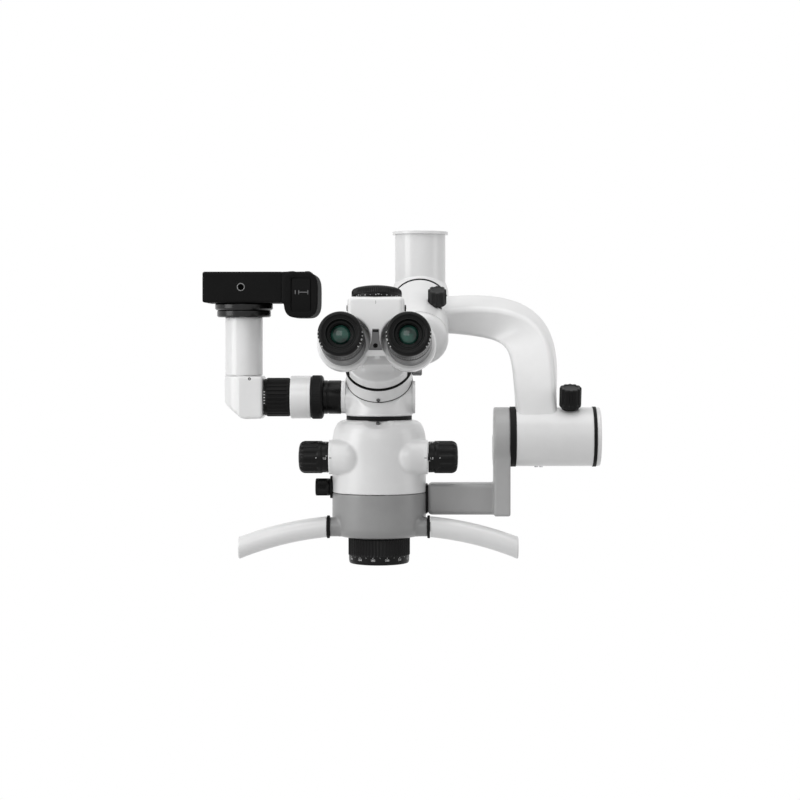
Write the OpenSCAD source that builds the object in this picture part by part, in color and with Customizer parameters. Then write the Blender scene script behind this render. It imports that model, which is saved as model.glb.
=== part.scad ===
// Surgical microscope head on its suspension: roll joint, curved arm, tilt joint,
// optical pod, beam splitter with photo adapter and camera, inclinable binocular.
// Origin at the centre of the suspension tube's top face, +Z up, front at -Y.

/* [Suspension tube] */
// How far the tube's wall stands in from the joint housings
tube_inset = 3; // [1:0.5:5]
// Diameter of the bore that slips over the arm's pin
tube_bore_d = 36; // [26:0.5:42]
// Depth of that bore
tube_bore_depth = 44; // [30:1:45]
// How far the lip stands out from the tube
lip_out = 2.9; // [2:0.1:3]
// Height of the lip
lip_h = 3; // [2:0.1:5]
// Depth of the elbow's centre below the top face
elbow_drop = 70; // [68:1:90]

/* [Roll joint] */
// Angle of the roll axis below the horizontal
roll_angle = 28; // [20:1:34]
// Outer diameter of both joint housings
joint_d = 62; // [60:0.2:63]
// Distance from the elbow's centre to the joint plane
stub_len = 22.7; // [22:0.1:26]
// Thickness of the black joint gasket
gasket_h = 2.2; // [1.5:0.1:3]
// How far a gasket stands out beyond its housing
gasket_proud = 0.6; // [0.2:0.1:0.8]
// Length of the roll housing
roll_len = 75.8; // [74:0.1:80]
// Height of the domed front cap
dome_h = 15; // [13:0.5:18]
// Wall of the joint bushes
bush_t = 6; // [5:0.5:7]
// Wall of both joint housings
housing_t = 11; // [10:0.5:12]

/* [Brake knobs] */
// Diameter of the roll brake knob
roll_knob_d = 19.8; // [17:0.2:21]
// Height of the roll brake knob
roll_knob_h = 17; // [14:0.5:20]
// Sideways offset of the roll brake screw from the roll axis
roll_brake_x = 19; // [18:0.1:20]
// Place of the roll brake screw along the roll axis
roll_brake_at = 50; // [44:1:54]
// Diameter of the tilt brake knob
tilt_knob_d = 23; // [20:0.2:23.4]
// Height of the tilt brake knob
tilt_knob_h = 21; // [17:0.5:24]
// Place of the tilt brake screw to the right of the tube's axis
tilt_brake_x = 158.2; // [158:0.1:159]
// Lean of the tilt brake knob toward the front
tilt_knob_lean = 20; // [10:1:30]
// Diameter of both brake screws
brake_screw_d = 8; // [6:0.5:8]

/* [Curved arm] */
// Width of the arm along the roll axis
arm_w = 42; // [36:1:44]
// Thickness of the arm at the roll housing
arm_root_t = 28; // [24:1:30]
// Thickness of the arm at the tilt housing
arm_foot_t = 44; // [40:1:44]
// Radius of the arm's long edges
arm_edge_r = 7; // [4:0.5:9]
// Place of the arm's root along the roll axis
arm_root_at = 26; // [25:1:30]
// Place of the arm's foot to the right of the tube's axis
arm_foot_x = 124; // [122:0.5:124]

/* [Head placement] */
// Offset of the pod's axis from the tube's axis, to the left
head_off = 42; // [40:1:44]
// Distance of the pod's axis in front of the tube's axis
head_out = 115; // [114:1:120]
// Depth of the tilt axis below the top face
tilt_drop = 222; // [220:1:226]

/* [Tilt joint] */
// Left face of the tilt joint's gasket, right of the tube's axis
tilt_left_x = 95.4; // [95:0.1:96]
// Thickness of the tilt joint's left ring
tilt_ring_h = 6; // [5:0.1:6.2]
// Length of the tilt housing
tilt_len = 80.2; // [79:0.1:81]
// Thickness of the black seam ring at the right end
seam_ring_h = 3.6; // [2:0.1:4]
// Thickness of the tilt end cap
tilt_cap_h = 4.6; // [4.5:0.1:6]

/* [L-bracket] */
// Thickness of the bracket's plate
plate_t = 17; // [14:0.5:18]
// Width of the plate below its round top
plate_w = 50; // [40:1:54]
// Height of the bracket's bar
bar_h = 33; // [28:1:34]
// Depth of the bar from front to back
bar_d = 28; // [24:1:30]
// Space between the bar's lower face and the height of the handle grips
bar_gap = 0.2; // [0.2:0.1:1]
// Set-back of the bar behind the tilt axis
bar_back = 7; // [5:0.5:9]

/* [Pod] */
// Diameter of the pod
pod_d = 98.4; // [96:0.2:102]
// Thickness of the pod's shells
shell_t = 3; // [2:0.1:3.4]
// Height of the upper shell's top above the tilt axis
pod_rise = 18; // [17.5:0.5:19]
// Height of the upper shell
upper_h = 76; // [74:0.5:78]
// Height of the lower shell
lower_h = 46; // [44:0.5:48]
// Radius of the lower shell's bottom corner
lower_r = 10; // [6:0.5:12]
// Height of the upper shell's shoulder
shoulder_h = 22; // [18:0.5:22]
// Diameter of the upper shell at its top
neck_d = 71; // [70:0.5:76]
// Diameter of the black ring on the pod
pod_ring_d = 68.8; // [66:0.2:70]
// Thickness of the black ring on the pod
pod_ring_h = 4; // [3:0.1:5]

/* [Zoom] */
// Diameter of the zoom knobs
zoom_knob_d = 33.6; // [30:0.2:34]
// Length of the zoom knobs
zoom_knob_len = 31; // [26:0.5:34]
// Distance of the zoom axis in front of the pod's axis
zoom_out = 25; // [23:0.5:26]
// Depth of the zoom axis below the upper shell's top
zoom_drop = 38; // [37:0.5:40]
// Diameter of the zoom bosses
boss_d = 35.8; // [35:0.2:37]
// How far the zoom bosses stand out beyond the pod
boss_proud = 2.2; // [1.8:0.2:4.8]
// Diameter of the lens drum
drum_d = 27; // [22:0.5:28]
// Length of the lens drum
drum_len = 50; // [44:1:54]
// Diameter of the zoom shaft
zoom_shaft_d = 8; // [6:0.5:10]

/* [Light knob and handles] */
// Diameter of the light knob
light_knob_d = 18.2; // [16:0.2:20]
// Length of the light knob
light_knob_len = 15; // [12:0.5:18]
// Height of the light knob above the shells' seam
light_rise = 5; // [3:0.5:6]
// Diameter of the handle grips
grip_d = 21.6; // [19:0.2:22]
// Radius of the grip's long curve
grip_bend_r = 334; // [300:1:380]
// Sweep of the grip's curve
grip_sweep = 17; // [12:0.5:18]
// Distance of the grip's outer end from the pod's axis
grip_reach = 145.6; // [138:0.2:146]
// Slope of the grip at its collar
grip_slope = 5.5; // [4:0.5:7]
// Diameter of the handle collars
collar_d = 23.8; // [23:0.2:25]
// Height of the handle axis above the lower shell's foot
handle_rise = 11; // [11:0.5:12]
// Distance of the handle axis in front of the pod's axis
handle_out = 20; // [19:0.5:22]

/* [Objective] */
// Diameter of the focus ring at its top
focus_d = 64.8; // [62:0.2:66]
// Diameter of the focus ring at its foot
focus_foot_d = 62; // [60:0.2:62]
// Height of the focus ring below the pod
focus_h = 28.6; // [26:0.2:32]
// Outer diameter of the objective cell
cell_d = 54; // [50:0.5:55]
// Height of the objective cell
cell_h = 36; // [30:1:38]

/* [Beam splitter] */
// How far the splitter's foot stands in from the inclined ring
splitter_inset = 0.7; // [0.2:0.1:1.5]
// How far the splitter's waist stands in from its foot
waist_inset = 3.8; // [2:0.1:5]
// Height of the inclined joint's centre above the ports' axis
dovetail_rise = 19.4; // [19:0.2:20]
// Tilt of the inclined joint from the horizontal
dovetail_angle = 45; // [43:1:47]
// Diameter of the inclined ring
dovetail_d = 69.4; // [68:0.2:70]
// Thickness of the inclined ring
dovetail_h = 17.4; // [16:0.2:18]
// Diameter of the side ports
port_d = 34.4; // [32:0.2:35]
// Height of the ports' axis above the upper shell's top
port_rise = 23.6; // [23.2:0.2:24]
// How far the port faces stand out from the inclined ring's edge
port_proud = 0.3; // [0.2:0.1:1.5]
// Thickness of the left port flange
port_flange_h = 4.6; // [3:0.2:6]
// Thickness of the right blank cap
blank_cap_h = 3; // [2:0.2:4]

/* [Photo adapter] */
// Diameter of the black adapter tube
adapter_d = 35.4; // [33:0.2:36]
// Length of the black adapter tube
adapter_len = 18.4; // [16:0.2:20]
// Diameter of the coupling nut
nut_d = 46; // [43:0.2:47]
// Length of the coupling nut
nut_len = 13.6; // [12:0.2:16]
// Diameter of the white adapter ring
white_ring_d = 45; // [43:0.2:46]
// Length of the white adapter ring
white_ring_len = 21; // [18:0.2:24]
// Diameter of the ribbed focus ring
rib_ring_d = 40.6; // [38:0.2:42]
// Length of the ribbed focus ring
rib_ring_len = 28.4; // [24:0.2:30]
// Width of the elbow housing
elbow_w = 44; // [42:0.5:45]
// Diameter of the vertical photo tube
photo_tube_d = 39.2; // [37:0.2:40]
// Height of the vertical photo tube
photo_tube_h = 62; // [58:0.5:66]
// Diameter of the lower mount ring
mount_low_d = 56.4; // [52:0.2:58]
// Diameter of the upper mount ring
mount_high_d = 60.6; // [57:0.2:62]
// Thickness of each mount ring
mount_ring_h = 7.4; // [6:0.2:8]

/* [Camera] */
// Width of the camera
camera_w = 120; // [114:1:124]
// Height of the camera, which lies from front to back here
camera_h = 67; // [62:1:70]
// Thickness of the camera's body
camera_t = 32; // [29:0.5:34]
// Width of the camera's grip
camera_grip_w = 36; // [32:0.5:38]
// Depth of the grip in front of the body's mount face
camera_grip_out = 16; // [12:0.5:18]
// Distance of the lens axis from the body's free end
lens_from_end = 40; // [38:0.5:42]

/* [Binocular] */
// Distance between the eyepiece axes as set
pupil_dist = 66.7; // [66:0.1:67]
// Rise of the eyepieces toward the viewer
eye_rise = 8.5; // [6:0.5:10]
// Diameter of the eyepiece rims
eye_d = 44.8; // [42:0.2:45]
// Length of the eyepieces
eye_len = 34; // [30:0.5:38]
// Diameter of the ocular housings
ocular_d = 54; // [50:0.2:54.6]
// Diameter of the grey ocular tubes
ocular_tube_d = 45; // [43:0.2:45.4]
// Distance from the hinge to the eyepieces' rims
eye_reach = 113.5; // [110:0.5:116]
// Diameter of the interpupillary knob
pd_knob_d = 50.8; // [46:0.2:54]
// Height of the interpupillary knob
pd_knob_h = 13; // [10:0.5:15]
// Width of the binocular housing
bino_w = 56.8; // [54:0.2:58]
// How far the knuckle's foot stands in from the inclined ring
knuckle_inset = 0.5; // [0.4:0.1:2.5]
// Diameter of the binocular's hinge barrels
hinge_d = 38; // [34:0.5:40]
// Diameter of the binocular's hinge pin
hinge_pin_d = 10; // [8:0.5:14]

/* [Hidden] */

// Overrun of every cut past the face it opens
cut = 1;
// Play of a running fit, on the radius
run_gap = 0.05;
// Gap between two pieces that move past each other
move_gap = 0.4;
// Gap at a shaft that turns freely through a casing
free_gap = 0.5;
$fn = 72;

module turned(points) rotate_extrude() polygon(points);

module pipe(d, bore, h) {
  difference() {
    cylinder(d = d, h = h);
    translate([0, 0, -cut]) cylinder(d = bore, h = h + 2 * cut);
  }
}

module rounded_rect(size, r) {
  inner = [size[0] - 2 * r, size[1] - 2 * r];
  square([size[0], inner[1]], center = true);
  square([inner[0], size[1]], center = true);
  for (sx = [-1, 1], sy = [-1, 1])
    translate([sx * inner[0] / 2, sy * inner[1] / 2]) circle(r = r);
}

module rounded_bar(size, r) {
  linear_extrude(height = size[2]) rounded_rect([size[0], size[1]], r);
}

// The head hangs from the tilt axis: depths below the top face follow from it
pod_top_drop = tilt_drop - pod_rise;
splitter_d = dovetail_d - 2 * splitter_inset;
splitter_waist_d = splitter_d - 2 * waist_inset;
port_out = dovetail_d / 2 + port_proud;
boss_out = pod_d / 2 + boss_proud;
knuckle_d = dovetail_d - 2 * knuckle_inset;
handle_drop = upper_h + lower_h - handle_rise;
light_drop = upper_h - light_rise;
bar_drop = handle_drop - grip_d / 2 - bar_gap - pod_rise;
port_drop = pod_top_drop - port_rise;
dovetail_drop = port_drop - dovetail_rise;

// Local frames: +Z of each runs along the joint's own axis
module along_roll() {
  translate([0, 0, -elbow_drop]) rotate([90 + roll_angle, 0, 0])
    translate([0, 0, stub_len]) children();
}
module along_tilt() {
  translate([tilt_left_x, -head_out, -tilt_drop]) rotate([0, 90, 0]) children();
}
module at_pod() {
  translate([-head_off, -head_out, -pod_top_drop]) children();
}
module along_zoom() {
  at_pod() translate([0, -zoom_out, -zoom_drop]) rotate([0, 90, 0]) children();
}
module along_dovetail() {
  translate([-head_off, -head_out, -dovetail_drop]) rotate([dovetail_angle, 0, 0]) children();
}

joint_r = joint_d / 2;
tube_d = joint_d - 2 * tube_inset;
lip_d = tube_d + 2 * lip_out;
bush_d = joint_d - 2 * housing_t;
bush_r = bush_d / 2;
spindle_d = bush_d - 2 * bush_t;
spindle_r = spindle_d / 2;

elbow_swell = 0.4;
module suspension_tube() {
  color("gainsboro") difference() {
    union() {
      translate([0, 0, -elbow_drop]) cylinder(d = tube_d, h = elbow_drop);
      translate([0, 0, -lip_h]) cylinder(d = lip_d, h = lip_h);
      translate([0, 0, -elbow_drop]) sphere(r = joint_r + elbow_swell);
      along_roll() translate([0, 0, -stub_len]) cylinder(r = joint_r, h = stub_len);
    }
    along_roll() cylinder(r = 2 * joint_r, h = 2 * joint_r);
    translate([0, 0, -tube_bore_depth]) cylinder(d = tube_bore_d, h = tube_bore_depth + cut);
    along_roll() translate([0, 0, -stub_len / 2]) cylinder(d = spindle_d, h = stub_len);
  }
}

// Roll joint, from the joint plane forward
roll_start = gasket_h + move_gap;
roll_end = roll_start + roll_len;
nut_h = 7;
nut_play = 1;
nut_r = bush_r - nut_play;
cap_wall = 3;
cap_seam = 0.5;
cap_hollow_share = 0.74;
cap_hollow_r = joint_r * cap_hollow_share;
spindle_tip = 2;

module roll_spindle() {
  color("silver") along_roll() translate([0, 0, -stub_len / 2])
    cylinder(d = spindle_d, h = stub_len / 2 + roll_end + nut_h + spindle_tip);
}

module roll_gasket() {
  color("black") along_roll() pipe(joint_d + 2 * gasket_proud, spindle_d, gasket_h);
}

module roll_nut() {
  color("silver") along_roll() translate([0, 0, roll_end + move_gap])
    pipe(2 * nut_r, spindle_d, nut_h);
}

shoe_lip = 1;
shoe_r = brake_screw_d / 2 + shoe_lip;
shoe_h = 5;
roll_brake_floor = spindle_r;
roll_seat = sqrt(joint_r * joint_r - roll_brake_x * roll_brake_x);
knob_lift = 1.2;

module roll_brake_hole(r) {
  translate([roll_brake_x, -roll_brake_floor, roll_brake_at]) rotate([-90, 0, 0])
    cylinder(r = r, h = joint_d);
}

module roll_housing() {
  color("gainsboro") along_roll() difference() {
    translate([0, 0, roll_start]) cylinder(r = joint_r, h = roll_len);
    translate([0, 0, roll_start - cut]) cylinder(d = bush_d, h = roll_len + 2 * cut);
    roll_brake_hole(shoe_r + run_gap);
    translate([roll_brake_x, roll_seat, roll_brake_at]) rotate([-90, 0, 0])
      cylinder(d = roll_knob_d + 2 * free_gap, h = joint_r);
  }
}

roll_bush_h = 18;
roll_front_bush_h = 14;
bush_inset = 2;
module bush(h) {
  pipe(bush_d, spindle_d + 2 * run_gap, h);
}
module joint_bushes() {
  color("darkgoldenrod") {
    along_roll() {
      translate([0, 0, roll_start + bush_inset]) bush(roll_bush_h);
      translate([0, 0, roll_end - bush_inset - roll_front_bush_h]) bush(roll_front_bush_h);
    }
    along_tilt() {
      translate([0, 0, tilt_start + bush_inset]) bush(tilt_bush_h);
      translate([0, 0, tilt_end - nut_sink - bush_inset - tilt_right_bush_h])
        bush(tilt_right_bush_h);
    }
  }
}

// Dome: a short cylinder that rounds off toward a flat nose
dome_nose_share = 0.6;
dome_mid_share = 0.9;
dome_mid_h_share = 0.6;
dome_rim = 2.5;
module roll_cap() {
  h = dome_h;
  r = joint_r;
  color("gainsboro") along_roll() translate([0, 0, roll_end + cap_seam]) difference() {
    turned([[0, 0], [r, 0], [r, dome_rim], [r * dome_mid_share, h * dome_mid_h_share],
      [r * dome_nose_share, h], [0, h]]);
    translate([0, 0, -cut]) cylinder(r = cap_hollow_r, h = h - cap_wall + cut);
  }
}

// Brake shoes: each stands in its screw's hole and bears on the spindle
module roll_shoe() {
  along_roll() difference() {
    translate([roll_brake_x, -shoe_h, roll_brake_at]) rotate([-90, 0, 0])
      cylinder(r = shoe_r, h = 2 * shoe_h);
    cylinder(d = spindle_d + 2 * run_gap, h = roll_end);
  }
}

tilt_start = tilt_ring_h + move_gap;
tilt_end = tilt_start + tilt_len;
tilt_knob_seat = joint_r + knob_lift;
tilt_brake_at = tilt_brake_x - tilt_left_x;
module tilt_brake_dir() {
  translate([0, 0, tilt_brake_at]) rotate([0, 0, tilt_knob_lean]) rotate([0, -90, 0]) children();
}
module tilt_shoe() {
  along_tilt() difference() {
    tilt_brake_dir() cylinder(r = shoe_r, h = spindle_r + shoe_h);
    cylinder(d = spindle_d + 2 * run_gap, h = tilt_end);
  }
}
module brake_shoes() {
  color("darkgoldenrod") {
    roll_shoe();
    tilt_shoe();
  }
}

module knob_body(d, h, lobes) {
  flute_r = d / 12;
  edge = d / 12;
  difference() {
    turned([[0, 0], [d / 2 - edge, 0], [d / 2, edge], [d / 2, h - edge],
      [d / 2 - edge, h], [0, h]]);
    for (i = [0 : lobes - 1]) rotate([0, 0, i * 360 / lobes])
      translate([d / 2 + flute_r / 2, 0, h / 5]) cylinder(r = flute_r, h = h, $fn = 24);
  }
}

knob_lobes = 8;
module roll_knob() {
  tip = shoe_h + move_gap;
  color("#1b1b1d") along_roll() translate([roll_brake_x, 0, roll_brake_at])
    rotate([-90, 0, 0]) {
      translate([0, 0, roll_seat + knob_lift]) knob_body(roll_knob_d, roll_knob_h, knob_lobes);
      translate([0, 0, tip]) cylinder(d = brake_screw_d, h = roll_seat + knob_lift - tip);
    }
}

collar_h = 2.4;
collar_share = 0.8;
module tilt_knob() {
  tip = spindle_r + shoe_h + move_gap;
  color("#1b1b1d") along_tilt() tilt_brake_dir() {
    translate([0, 0, tilt_knob_seat + collar_h])
      knob_body(tilt_knob_d, tilt_knob_h, 2 * knob_lobes);
    translate([0, 0, tilt_knob_seat])
      cylinder(d = tilt_knob_d * collar_share, h = collar_h);
    translate([0, 0, tip]) cylinder(d = brake_screw_d, h = tilt_knob_seat - tip);
  }
}

module tilt_housing() {
  color("gainsboro") along_tilt() difference() {
    translate([0, 0, tilt_start]) cylinder(r = joint_r, h = tilt_len);
    translate([0, 0, tilt_start - cut]) cylinder(d = bush_d, h = tilt_len + 2 * cut);
    tilt_brake_dir() cylinder(r = shoe_r + run_gap, h = joint_d);
    tilt_screw_holes();
  }
}

tilt_bush_h = 20;
tilt_right_bush_h = 10;
nut_sink = 4.6;
module tilt_seam_ring() {
  color("black") along_tilt() translate([0, 0, tilt_end])
    pipe(joint_d + 2 * gasket_proud, 2 * cap_hollow_r, seam_ring_h);
}

cap_round = 3;
module tilt_cap() {
  r = joint_r;
  h = tilt_cap_h;
  depth = h - cap_wall;
  color("gainsboro") along_tilt() translate([0, 0, tilt_end + seam_ring_h]) difference() {
    turned([[0, 0], [r, 0], [r, h - cap_round], [r - cap_round / 4, h - cap_round / 3],
      [r - cap_round, h], [0, h]]);
    translate([0, 0, -cut]) cylinder(r = cap_hollow_r, h = depth + cut);
  }
}

set_screw_d = 4;
set_screw_at = 28;
set_screw_pitch = 5;
set_screw_proud = 1.2;
module tilt_screw_place() {
  for (k = [0, 1]) translate([0, 0, set_screw_at + k * set_screw_pitch])
    rotate([0, 90, 0]) translate([0, 0, bush_r]) children();
}
module tilt_screw_holes() {
  tilt_screw_place() translate([0, 0, -cut]) cylinder(d = set_screw_d, h = joint_r);
}
module tilt_set_screws() {
  color("dimgray") along_tilt() tilt_screw_place()
    cylinder(d = set_screw_d, h = joint_r + set_screw_proud - bush_r);
}

// The arm: rounded rectangles between an outer and an inner curve, each a cubic
// whose two inner control points are shares of its reach, its way forward and its fall
arm_steps = 30;
arm_corner_steps = 4;
arm_root_back = bush_r;
arm_root = [arm_root_back, -(stub_len + arm_root_at) * cos(roll_angle),
  -elbow_drop - (stub_len + arm_root_at) * sin(roll_angle)];
arm_foot = [arm_foot_x, -head_out, -tilt_drop + bush_r];
arm_up = [0, -sin(roll_angle), cos(roll_angle)];
arm_side = [1, 0, 0];
arm_outer_shares = [[1.25, 0, 0.19], [0.05, 0.28, 0.33]];
arm_inner_shares = [[1.13, 0, -0.11], [0.07, 0.28, 0.92]];
function span(a, d) = [d[0] - a[0], a[1] - d[1], a[2] - d[2]];
function scaled(v, w) = [v[0] * w[0], v[1] * w[1], v[2] * w[2]];
function ctrl(a, d, sh) = let (s = span(a, d), back = scaled(s, sh[1]))
  [a, a + scaled(s, sh[0]), d + [-back[0], back[1], back[2]], d];
arm_outer = ctrl(arm_root + arm_up * arm_root_t / 2, arm_foot + arm_side * arm_foot_t / 2,
  arm_outer_shares);
arm_inner = ctrl(arm_root - arm_up * arm_root_t / 2, arm_foot - arm_side * arm_foot_t / 2,
  arm_inner_shares);
function bez(p, t) = pow(1 - t, 3) * p[0] + 3 * pow(1 - t, 2) * t * p[1]
  + 3 * (1 - t) * t * t * p[2] + pow(t, 3) * p[3];
function unit(v) = v / norm(v);
// Front direction of the section, from the roll axis to straight ahead
function arm_front(t) = [0, -cos(roll_angle * (1 - t)), -sin(roll_angle * (1 - t))];
function arm_ring(t) = let (
    a = bez(arm_outer, t),
    b = bez(arm_inner, t),
    mid = (a + b) / 2,
    outer = unit(a - b),
    f = arm_front(t),
    front = unit(f - (f * outer) * outer),
    half = [arm_w / 2, norm(a - b) / 2],
    n = arm_corner_steps
  ) [for (q = [0 : 3], i = [0 : n]) let (
    ang = q * 90 + i * 90 / n,
    sx = (q == 0 || q == 3) ? 1 : -1,
    sy = (q < 2) ? 1 : -1,
    fx = sx * (half[0] - arm_edge_r) + arm_edge_r * cos(ang),
    oy = sy * (half[1] - arm_edge_r) + arm_edge_r * sin(ang)
  ) mid + fx * front + oy * outer];
module arm_sweep() {
  per = 4 * (arm_corner_steps + 1);
  points = [for (s = [0 : arm_steps]) each arm_ring(s / arm_steps)];
  sides = [for (s = [0 : arm_steps - 1], i = [0 : per - 1])
    let (j = (i + 1) % per, a = s * per, b = (s + 1) * per)
    each [[a + i, a + j, b + i], [a + j, b + j, b + i]]];
  first = [for (i = [per - 1 : -1 : 0]) i];
  last = [for (i = [0 : per - 1]) arm_steps * per + i];
  polyhedron(points = points, faces = concat([first], sides, [last]));
}
module curved_arm() {
  color("gainsboro") difference() {
    arm_sweep();
    along_roll() translate([0, 0, -cut]) cylinder(r = joint_r, h = joint_d * 2);
    along_tilt() translate([0, 0, -joint_d]) cylinder(r = joint_r, h = joint_d * 4);
    along_tilt() translate([0, 0, -joint_d])
      cylinder(r = joint_r + gasket_proud + move_gap, h = joint_d + tilt_start);
  }
}

// Tilt spindle, held in the bracket's plate
spindle_root = 12;
module tilt_spindle() {
  color("silver") along_tilt() translate([0, 0, -spindle_root])
    cylinder(d = spindle_d, h = spindle_root + tilt_end + nut_h - nut_sink);
}
module tilt_gasket() {
  color("black") along_tilt() pipe(joint_d + 2 * gasket_proud, spindle_d, tilt_ring_h);
}
module tilt_nut() {
  color("silver") along_tilt() translate([0, 0, tilt_end - nut_sink])
    pipe(2 * nut_r, spindle_d, nut_h);
}

seal_h = 2;
bar_left = -head_off + pod_d / 2 + seal_h;
bar_top = -tilt_drop - bar_drop + bar_h;
bar_y = -head_out + bar_back;
bar_r = 6;
module l_bracket() {
  color("darkgray") difference() {
    union() {
      along_tilt() translate([0, 0, -plate_t]) cylinder(r = joint_r, h = plate_t);
      translate([tilt_left_x - plate_t, -head_out - plate_w / 2, -tilt_drop - bar_drop])
        cube([plate_t, plate_w, bar_drop]);
      translate([bar_left, bar_y, bar_top - bar_h / 2]) rotate([90, 0, 90])
        rounded_bar([bar_d, bar_h, tilt_left_x - plate_t / 2 - bar_left], bar_r);
    }
    along_tilt() translate([0, 0, -spindle_root]) cylinder(d = spindle_d, h = plate_t);
  }
}

// Pod shells: turned about the pod's axis, local zero at the upper shell's top
pod_r = pod_d / 2;
in_r = pod_r - shell_t;
neck_r = neck_d / 2;
light_way_r = 24;
seam_z = -upper_h;
pod_foot = seam_z - lower_h;
boss_r = boss_d / 2;
boss_in = 18;
shaft_hole_r = zoom_shaft_d / 2 + free_gap;
shoulder_mid_share = 0.62;
shoulder_mid_h_share = 0.18;
shoulder_low_share = 0.9;
shoulder_low_h_share = 0.56;
function shoulder(r_out, drop) = let (step = r_out - neck_r) [
  [neck_r - drop, -drop],
  [neck_r + step * shoulder_mid_share - drop, -drop - shoulder_h * shoulder_mid_h_share],
  [neck_r + step * shoulder_low_share - drop, -drop - shoulder_h * shoulder_low_h_share]
];

module upper_solid(drop) {
  turned(concat([[0, -drop]], shoulder(pod_r, drop),
    [[pod_r - drop, -shoulder_h - drop], [pod_r - drop, seam_z], [0, seam_z]]));
}

module pod_upper_shell() {
  color("gainsboro") at_pod() difference() {
    union() {
      upper_solid(0);
      translate([0, -zoom_out, -zoom_drop]) rotate([0, 90, 0]) {
        translate([0, 0, boss_in]) cylinder(r = boss_r, h = boss_out - boss_in);
        translate([0, 0, -boss_out]) cylinder(r = boss_r, h = boss_out - boss_in);
      }
    }
    upper_solid(shell_t);
    translate([0, 0, seam_z - cut]) cylinder(r = in_r, h = cut + shell_t);
    translate([0, 0, -shell_t - cut]) cylinder(r = light_way_r, h = shell_t + 2 * cut);
    translate([-boss_out + shell_t, -zoom_out, -zoom_drop]) rotate([0, 90, 0])
      cylinder(r = boss_r - shell_t, h = 2 * (boss_out - shell_t));
    translate([-boss_out - cut, -zoom_out, -zoom_drop]) rotate([0, 90, 0])
      cylinder(r = shaft_hole_r, h = 2 * (boss_out + cut));
    light_hole();
    lock_recess();
  }
}

recess_r = 91.2;
recess_out = 84.1;
recess_up = 74.9;
module lock_recess() {
  translate([0, -recess_out, recess_up]) sphere(r = recess_r);
}

light_shaft_d = 6;
light_flange_d = 23.6;
light_flange_h = 2.2;
light_flange_in = 6;
module along_light() {
  translate([0, 0, -light_drop]) rotate([0, -90, 0]) children();
}
module light_hole() {
  along_light() cylinder(d = light_shaft_d + 2 * free_gap, h = pod_d);
}

objective_hole_r = 30;
floor_t = 3.6;
module pod_lower_shell() {
  foot_in = pod_r - lower_r;
  round_steps = 8;
  arc = [for (i = [0 : round_steps]) let (a = i * 90 / round_steps)
    [foot_in + lower_r * cos(a), pod_foot + lower_r - lower_r * sin(a)]];
  color("gray") at_pod() difference() {
    union() {
      turned(concat([[0, seam_z]], [[pod_r, seam_z]], arc, [[0, pod_foot]]));
      for (s = [0, 1]) mirror([s, 0, 0]) along_handle() translate([0, 0, collar_in])
        cylinder(d = handle_boss_d, h = collar_out - collar_face - collar_in);
    }
    translate([0, 0, pod_foot + floor_t])
      cylinder(r = in_r - lower_r / 2, h = lower_h - floor_t + cut);
    translate([0, 0, pod_foot - cut]) cylinder(r = objective_hole_r, h = floor_t + 2 * cut);
    handle_holes();
  }
}

handle_shaft_d = 10;
module along_handle() {
  translate([0, -handle_out, -handle_drop]) rotate([0, 90, 0]) children();
}
module handle_holes() {
  along_handle() translate([0, 0, -pod_d]) cylinder(d = handle_shaft_d + 2 * free_gap, h = 2 * pod_d);
}

chassis_z = -60;
chassis_t = 5;
way_r = 9;
way_off = 12;
module pod_chassis() {
  color("darkgray") at_pod() difference() {
    translate([0, 0, chassis_z - chassis_t]) cylinder(r = in_r - run_gap, h = chassis_t);
    for (s = [-1, 1]) translate([s * way_off, -zoom_out, chassis_z - chassis_t - cut])
      cylinder(r = way_r, h = chassis_t + 2 * cut);
    along_light() translate([0, 0, -cut]) cylinder(d = light_shaft_d, h = cut);
  }
}

module pod_ring() {
  color("black") at_pod() pipe(pod_ring_d, 2 * light_way_r, pod_ring_h);
}

led_w = 44;
led_d = 20;
led_h = 30;
led_y = 18;
module led_module() {
  color("silver") at_pod() {
    translate([-led_w / 2, led_y, chassis_z]) cube([led_w, led_d, led_h]);
    translate([0, led_y + led_d / 2, chassis_z + led_h]) cylinder(r = led_d / 3, h = led_d / 4);
  }
}

// Zoom: bearings in the bosses, shaft with the lens drum, a knob at each end
bearing_at = 40;
bearing_t = 6;
module zoom_bearings() {
  color("silver") along_zoom() for (s = [-1, 1])
    translate([0, 0, s * bearing_at - bearing_t / 2])
      pipe(boss_d - 2 * shell_t, zoom_shaft_d + 2 * run_gap, bearing_t);
}

zoom_half = boss_out + free_gap;
lens_t = 4;
module zoom_drum() {
  color("dimgray") along_zoom() difference() {
    union() {
      translate([0, 0, -drum_len / 2]) cylinder(d = drum_d, h = drum_len);
      translate([0, 0, -zoom_half - zoom_knob_len / 2])
        cylinder(d = zoom_shaft_d, h = 2 * zoom_half + zoom_knob_len);
    }
    for (s = [-1, 1]) translate([-drum_d, 0, s * way_off]) rotate([0, 90, 0])
      cylinder(r = way_r, h = 2 * drum_d);
  }
}

module drum_lenses() {
  color("lightblue") along_zoom() for (s = [-1, 1], e = [-1, 1])
    translate([e * drum_d / 4 - lens_t / 2, 0, s * way_off]) rotate([0, 90, 0])
      cylinder(r = way_r, h = lens_t);
}

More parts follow.
